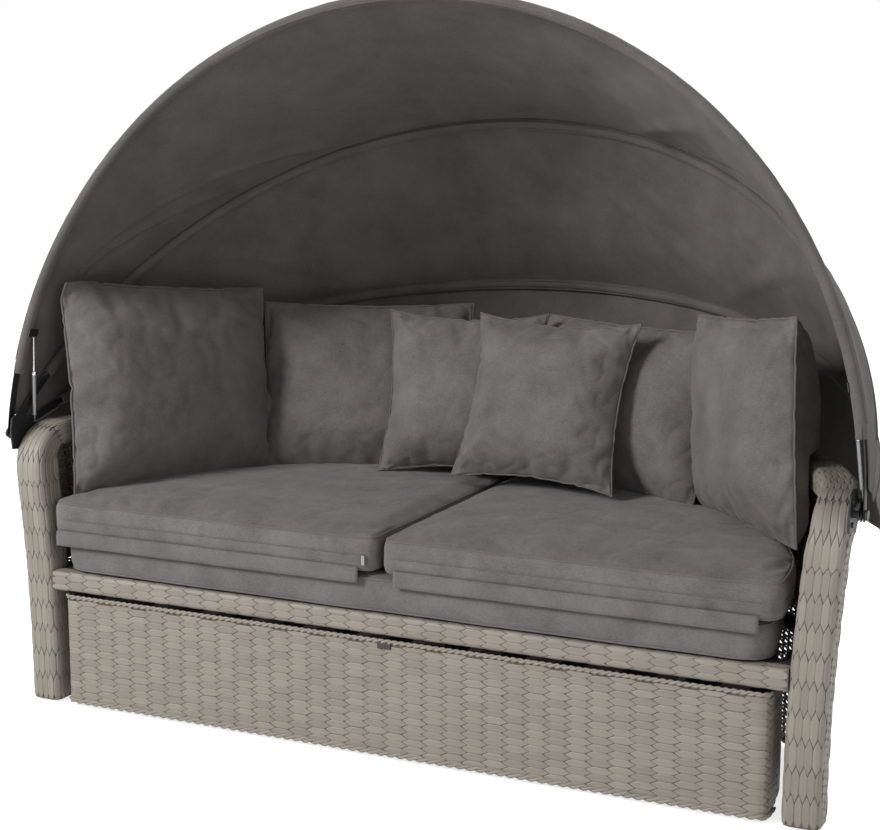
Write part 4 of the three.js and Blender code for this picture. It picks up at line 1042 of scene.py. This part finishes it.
def buildSeat(side, seed):
    s = seatShape
    sign = 1 if side == "right" else -1
    outline = seatOutline(sign * s["split"] + s["gap"], s[side + "End"])
    rings = [ring3(insetLoop(outline, inset), s["bottom"] + z) for inset, z in seatProfile]
    for share, rise in seatCrown:
        rings.append(ring3(shrunk(outline, 0.010, share), s["edgeTop"] + s["crown"] * rise * 0.85))
    middle = [outline.mean(axis=0)]
    tips = ring3(middle, s["bottom"]) + ring3(middle, s["edgeTop"] + s["crown"] * 0.87)
    seams = [ring3(insetLoop(outline, inset), z) for inset, z, _ in seatSeams]
    if side == "left":
        rings, seams, (tips,) = [[mirrored(loop) for loop in loops] for loops in (rings, seams, [tips])]
    piece = loftRings(side + "SeatCover", rings, cushionFinish, tips)
    applyModifier(piece, "REMESH", "skin", mode="VOXEL", voxel_size=s["voxel"])
    pinNear(piece, seams, s["voxel"] * 0.9)
    inflate(piece, s)
    applyModifier(piece, "SUBSURF", "finer", levels=1, render_levels=1)
    crease(piece, seed, 0.16, 0.0028)
    piece.data.shade_smooth()
    sewnLines(side + "Seat", piece, seams, [radius for _, _, radius in seatSeams], 0.0004)
    finishCover(piece, side + "_seat_cushion", s["fill"])


flap = {"inner": 0.045, "outer": 0.880, "steps": 90, "thickness": 0.0024, "wave": 0.0012}
flapProfile = (
    (0.0, 0.4475), (-0.0026, 0.444), (-0.004, 0.437), (-0.0042, 0.429), (-0.0036, 0.42), (-0.004, 0.411),
)  # out from the seat's front, and z


def buildFlap(side):  # the strip of cloth along the lower front edge of a seat cushion
    sign = 1 if side == "right" else -1
    width = flap["outer"] - flap["inner"]
    rows = []
    for k, (out, z) in enumerate(flapProfile):
        hang = k / (len(flapProfile) - 1)
        row = []
        for i in range(flap["steps"] + 1):
            x = flap["inner"] + width * i / flap["steps"]
            wave = noise.noise(Vector((x * 9, 3.0 * sign, hang)))
            y = frontY + seatShape["front"] + out - flap["wave"] * hang * (1 + wave)
            row.append(vec(sign * x + seatShape["split"], y, z + flap["wave"] * wave * hang))
        rows.append(row)
    piece = gridSheet(side + "SeatFlap", rows, cushionFinish, flap["thickness"])
    carry(piece, "daybed")
    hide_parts(side + "_seat_flap")


padShape = {
    "halfWidth": 0.890, "centre": -0.008, "front": 0.0018, "back": 0.804, "corner": 0.060, "bottom": 0.340,
    "crown": 0.0896, "edge": 0.026, "voxel": 0.015, "dent": 0.0022, "fill": 0.9, "step": 0.012,
}
padProfile = (
    (0.026, 0.0), (0.010, 0.004), (0.002, 0.014), (0.0, 0.030), (0.0, 0.060), (0.002, 0.076), (0.010, 0.086),
    (0.026, 0.0896),
)


def buildBasePad():
    s = padShape
    back, corner = s["back"] - plan["centreY"], s["corner"]
    middle, cornerX = s["front"] + corner, s["halfWidth"] - corner
    start = math.asin((middle - plan["centreY"]) / back)
    outline = evenPath(
        arcPath(cornerX, middle, corner, corner, -quarter, 0, 8)[:-1]
        + arcPath(0, plan["centreY"], s["halfWidth"], back, start, math.pi - start, 90)
        + arcPath(-cornerX, middle, corner, corner, -2 * quarter, -quarter, 8)[1:],
        s["step"],
    )
    outline[:, 0] += s["centre"]
    top = s["bottom"] + s["crown"]
    rings = [ring3(shrunk(outline, s["edge"], 0.5), s["bottom"])]
    rings += [ring3(insetLoop(outline, inset), s["bottom"] + z) for inset, z in padProfile]
    rings += [ring3(shrunk(outline, s["edge"], share), top) for share in (0.85, 0.5)]
    tips = ring3([outline.mean(axis=0)], s["bottom"]) + ring3([outline.mean(axis=0)], top)
    piece = loftRings("basePadCover", rings, cushionFinish, tips)
    applyModifier(piece, "REMESH", "skin", mode="VOXEL", voxel_size=s["voxel"])
    applyModifier(piece, "SUBSURF", "finer", levels=1, render_levels=1)
    points, normals = coordinates(piece), vertexNormals(piece)
    for i, (p, n) in enumerate(zip(points, normals)):
        if abs(n[2]) < 0.7:
            points[i] = p + n * s["dent"] * noise.noise(Vector((p[0] * 7, p[1] * 7, p[2] * 22)))
    setCoordinates(piece, points)
    loops = [ring3(insetLoop(outline, 0.002), z) for z in (0.3465, 0.4225)]
    sewnLines("basePad", piece, loops, (0.0032, 0.0032), 0.0008)
    finishCover(piece, "base_pad", s["fill"])


for number, (name, place) in enumerate(largeCushions.items()):
    buildCushion(name, place, largeStyle, 3.1 + number)
for number, (name, place) in enumerate(throwPillows.items()):
    buildCushion(name, place, throwStyle, 13.7 + number)
buildSeat("right", 21.3)
buildSeat("left", 27.9)
buildBasePad()
buildFlap("right")
buildFlap("left")
print("cushions made")

# Canopy

canopy = {
    "pivotY": 0.032, "pivotZ": 0.671, "radius": 1.055, "sleeve": 0.0125, "thickness": 0.0014, "sag": 0.030,
    "bite": 0.0030, "start": 0.186, "foot": 0.052, "edge": 0.05, "panelWidth": 3.10,
    "tilts": {"front": 8, "middle": 44, "rear": 72},
}
hoopStarts = {"front": 0.150, "middle": 0.186, "rear": 0.186}
pipe = {"radius": 0.0022, "lift": 0.0016, "turn": 2.2}
frontFolds = (  # arc and share of the middle, slope, width, length, depth
    (2.25, 0.25, 1.25, 0.020, 0.25, -0.011), (2.31, 0.25, 1.25, 0.030, 0.25, 0.007),
    (2.43, 0.25, 0.9, 0.020, 0.25, -0.012), (2.49, 0.25, 0.9, 0.030, 0.25, 0.007),
    (2.12, 0.12, 1.4, 0.018, 0.15, -0.007), (1.76, 0.20, 0.0, 0.018, 0.25, 0.007),
    (1.45, 0.3, -0.3, 0.04, 0.4, 0.006), (1.1, 0.35, -0.5, 0.030, 0.4, -0.008),
    (0.85, 0.3, -0.8, 0.025, 0.3, 0.008), (0.72, 0.3, -0.8, 0.022, 0.3, -0.008),
)
rearFolds = (
    (2.05, 0.35, 0.18, 0.032, 0.40, -0.011), (1.97, 0.35, 0.18, 0.04, 0.35, 0.006),
    (1.26, 0.50, 0.66, 0.030, 0.30, -0.011), (1.18, 0.50, 0.66, 0.040, 0.30, 0.006),
    (1.66, 0.94, 0.0, 0.012, 0.07, -0.006), (1.60, 0.94, 0.0, 0.012, 0.07, 0.005),
    (1.34, 0.93, 0.1, 0.012, 0.08, -0.007), (1.20, 0.93, -0.1, 0.014, 0.08, -0.006),
    (1.14, 0.93, 0.1, 0.014, 0.08, 0.006), (2.30, 0.50, 0.5, 0.045, 0.50, -0.010),
    (1.55, 0.45, -0.2, 0.05, 0.5, 0.006), (0.85, 0.5, -0.5, 0.04, 0.4, -0.010),
)
panels = {
    "canopyFrontPanel": {
        "rear": "middle", "front": "front", "folds": frontFolds, "seed": 2.0, "steps": 46,
        "replaced": "canopy_front_panel",
    },
    "canopyRearPanel": {
        "rear": "rear", "front": "middle", "folds": rearFolds, "seed": 5.0, "steps": 40,
        "replaced": "canopy_rear_panel",
    },
}
tilts = {key: math.radians(value) for key, value in canopy["tilts"].items()}


def tiltVector(tilt):
    return vec(0, math.sin(tilt), math.cos(tilt))


def hoopOut(arc, tilt):
    return tiltVector(tilt) * math.sin(arc) + vec(math.cos(arc), 0, 0)


def hoopPoint(arc, tilt):
    return vec(0, frontY + canopy["pivotY"], canopy["pivotZ"]) + hoopOut(arc, tilt) * canopy["radius"]


def arcsFor(steps, start):
    low = start / canopy["radius"]
    return np.linspace(low, math.pi - low, steps)


def foldHeight(arc, share, seed, folds):  # ridges and creases of the cloth between two hoops
    value = 0.0
    for centreArc, centreShare, slope, width, length, depth in folds:
        along = share - centreShare
        across = (arc - centreArc) - slope * along
        value += depth * math.exp(-(across / width) ** 2 - (along / length) ** 2)
    q = Vector((arc * 6.0, share * 2.2 + seed, seed))
    soft = noise.noise(q) * 0.008 + noise.noise(q * 2.7) * 0.004
    edge = math.exp(-share / canopy["edge"]) + math.exp(-(1 - share) / canopy["edge"])
    pucker = 0.0034 * edge * noise.noise(Vector((arc * 42, seed * 3, share * 5)))
    return value + soft * math.sin(math.pi * share) + pucker


def panelRows(fromTilt, toTilt, steps, seed, folds):
    middle = (fromTilt + toTilt) / 2
    rows = []
    for i in range(steps + 1):
        share = i / steps
        loose = min(1.0, share / canopy["edge"], (1 - share) / canopy["edge"])  # 0 where it is sewn in
        lift = canopy["sleeve"] - canopy["bite"] + (canopy["bite"] + 0.0004) * loose
        sewn = fromTilt if share < 0.5 else toTilt
        turn = sewn + (middle - sewn) * loose
        row = []
        for arc in arcsFor(240, canopy["foot"]):
            chord = hoopPoint(arc, fromTilt) * (1 - share) + hoopPoint(arc, toTilt) * share
            ripple = 0.8 + 0.2 * math.cos(5 * arc + 2 * share)
            hang = canopy["sag"] * math.sin(math.pi * share) * math.sin(arc) ** 0.8 * ripple
            fold = foldHeight(arc, share, seed, folds) * min(1.0, math.sin(arc) * 2)
            row.append(chord + hoopOut(arc, turn) * (lift - hang + fold * loose))
        rows.append(row)
    return rows


def sleeveAndPiping(key):
    body, tilt = key + "_bow", tilts[key]
    arcs = arcsFor(220, hoopStarts[key])
    radii = [canopy["sleeve"] + 0.0012 * noise.noise(Vector((arc * 30, tilt * 7, 0))) for arc in arcs]
    path = [hoopPoint(arc, tilt) for arc in arcs]
    made = [tubeAlong(key + "HoopSleeve", path, radii, canopyFinish, sides=12)]
    arcs, offset = arcsFor(200, canopy["start"]), canopy["sleeve"] + pipe["lift"]
    for k, turn in enumerate((pipe["turn"], -pipe["turn"])):
        path = [hoopPoint(arc, tilt) + hoopOut(arc, tilt + turn) * offset for arc in arcs]
        made.append(tubeAlong(f"{key}HoopPiping{k + 1}", path, pipe["radius"], canopyFinish, sides=6))
    for piece in made:
        carry(piece, body)
    return made


def buildPanel(name, panel, held):
    rear, front = panel["rear"], panel["front"]
    rows = panelRows(tilts[rear], tilts[front], panel["steps"], panel["seed"], panel["folds"])
    area = sheetArea(rows)
    piece = gridSheet(name, rows, canopyFinish, canopy["thickness"])
    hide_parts(panel["replaced"])
    pivot = vec(0, frontY + canopy["pivotY"], canopy["pivotZ"])
    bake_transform(piece)
    flat = (canopy["panelWidth"], round(area / canopy["panelWidth"] / 0.72, 3))
    print(name, "area", round(area, 3), "length", flat[1])
    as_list(held)


skirt = {
    "start": 0.075, "steps": 34, "halfWidth": 1.055, "front": 0.175, "back": 0.940, "hem": 0.560,
    "reach": 0.16, "turn": 30, "wave": 0.009, "soft": 0.006, "narrow": 0.85, "lift": 0.0006, "width": 3.2,
}


def skirtPoint(arc, share):
    sine, tilt = math.sin(arc), tilts["rear"]
    y = frontY + skirt["front"] + (skirt["back"] - skirt["front"]) * sine
    hem = vec(skirt["halfWidth"] * math.cos(arc), y, skirt["hem"])
    out = hoopOut(arc, tilt + math.radians(skirt["turn"]) * min(1.0, share * 3))
    out = unit(out * (1 - share) + vec(math.cos(arc), sine, 0) * share)
    fold = 0.5 + 0.5 * noise.noise(Vector((arc * 5, 9.0, 0)))
    ripple = math.sin(31 * arc + 2.5 * noise.noise(Vector((arc * 4, 3.0, share))))
    wave = share ** 0.7 * skirt["wave"] * ripple * fold
    soft = skirt["soft"] * noise.noise(Vector((arc * 9, share * 2.5, 4.0)))
    soft *= math.sin(math.pi * min(1, share * 1.2))
    offset = canopy["sleeve"] * (1 - share * skirt["narrow"]) + skirt["lift"]
    return hoopPoint(arc, tilt) * (1 - share) + hem * share + out * (offset + wave + soft)


def buildSkirt(held):
    steps = skirt["steps"]
    rows = [[skirtPoint(arc, i / steps) for arc in arcsFor(300, skirt["start"])] for i in range(steps + 1)]
    area = sheetArea(rows)
    piece = gridSheet("canopySkirt", rows, canopyFinish, canopy["thickness"])
    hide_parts("canopy_skirt")
    low, high = (0, 0, skirt["hem"]), (0, 0, skirt["hem"] + skirt["reach"])
    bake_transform(piece)
    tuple(low)
    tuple(high)
    flat = (skirt["width"], round(area / skirt["width"] / 0.85, 3))
    print("canopySkirt area", round(area, 3), "length", flat[1])
    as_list(held)


sleeves = {key: sleeveAndPiping(key) for key in ("front", "middle", "rear")}
for name, panel in panels.items():
    buildPanel(name, panel, sleeves[panel["front"]])
buildSkirt(sleeves["rear"])
print("canopy made")

# Finishes of the parts that stay as they are in the frame

collar = {
    "foot": (1.0419, 0.105, 0.680), "line": (-0.09501, -0.08553, 0.99180), "sides": 20,
    "stops": (0.1305, 0.1318, 0.1412, 0.1420), "radii": (0.0066, 0.0073, 0.0073, 0.0060),
}


def buildCollars():  # bright collars at the tops of the strut tubes
    for side, sign in (("left", -1), ("right", 1)):
        flip = vec(sign, 1, 1)
        foot = (vec(*collar["foot"]) + vec(0, frontY, 0)) * flip
        path = [foot + vec(*collar["line"]) * flip * stop for stop in collar["stops"]]
        piece = tubeAlong(side + "StrutCollar", path, collar["radii"], steelFinish, sides=collar["sides"])
        carry(piece, side + "_strut_tube")


def pairOf(*names):
    return [f"{side}_{name}" for name in names for side in ("left", "right")]


dress(pairOf("hinge_bracket", "pivot_bolt", "strut_mount"), blackFinish)
dress(["rear_hoop", "middle_hoop", "front_hoop"], blackFinish)
dress(["seat_frame", "footstool_frame"] + [f"rear_post_{i}" for i in (1, 2, 3)], tubeFinish)
dress([f"footstool_post_{i}" for i in (1, 2, 3, 4)], tubeFinish)
dress(pairOf("strut_rod"), steelFinish)
dress(pairOf("strut_tube") + ["zip_pull"], cylinderFinish)
dress(pairOf("leg_glide") + ["footstool_pull_tab"] + [f"rear_glide_{i}" for i in (1, 2, 3)], plasticFinish)
dress([f"footstool_glide_{i}" for i in (1, 2, 3, 4)], plasticFinish)
buildCollars()

# Floor, light and background

studio = {"floor": 40, "drop": 0.0005, "grey": 0.86, "roughness": 0.9, "glow": 0.76, "fill": 0.27}
lamps = (
    {"place": (-4.4, -5.8, 4.6), "aim": (0, 0, 0.5), "size": 2.4, "power": 555},
    {"place": (3.8, -3.0, 2.2), "aim": (0, 0, 0.5), "size": 2.4, "power": 42},
    {"place": (0.5, 1.6, 4.6), "aim": (0, 0, 0.6), "size": 3.0, "power": 85},
)


def anyRay(tree):  # 1 for camera, glossy and transmission rays
    path = node(tree, "ShaderNodeLightPath").outputs
    seen = path["Is Camera Ray"]
    for ray in ("Is Glossy Ray", "Is Transmission Ray"):
        seen = node(tree, "ShaderNodeMath", {0: seen, 1: path[ray]}, operation="MAXIMUM").outputs["Value"]
    return seen


def floorMaterial():
    material, tree, shader = newMaterial("paleFloor", studio["roughness"])
    shader.inputs["Base Color"].default_value = (*[studio["grey"]] * 3, 1)
    lights = [node(tree, "ShaderNodeEmission", {"Strength": power}) for power in (studio["glow"], 0.0)]
    glow, black = [light.outputs["Emission"] for light in lights]
    pick = node(tree, "ShaderNodeMixShader", {0: anyRay(tree), 1: black, 2: glow}).outputs["Shader"]
    total = node(tree, "ShaderNodeAddShader", {0: shader.outputs["BSDF"], 1: pick}).outputs["Shader"]
    tree.links.new(total, tree.nodes["Material Output"].inputs["Surface"])
    return material


def makeStage():
    bpy.ops.mesh.primitive_plane_add(size=studio["floor"], location=(0, 0, -studio["drop"]))
    floor = bpy.context.object
    floor.name = "floor"
    floor.data.materials.append(floorMaterial())
    world = bpy.data.worlds.new("studio")
    scene.world = world
    world.use_nodes = True
    tree = world.node_tree
    background = tree.nodes["Background"].inputs
    background["Color"].default_value = (1, 1, 1, 1)
    sockets = {"Value": anyRay(tree), "To Min": studio["fill"], "To Max": 1.0}
    strength = node(tree, "ShaderNodeMapRange", sockets).outputs["Result"]
    tree.links.new(strength, background["Strength"])
    for lamp in lamps:
        bpy.ops.object.light_add(type="AREA", location=lamp["place"])
        light = bpy.context.object
        light.data.size = lamp["size"]
        light.data.energy = lamp["power"]
        aim = Vector(lamp["aim"]) - Vector(lamp["place"])
        light.rotation_euler = aim.to_track_quat("-Z", "Y").to_euler()
    scene.view_settings.view_transform = "Standard"


makeStage()
print("stage made")
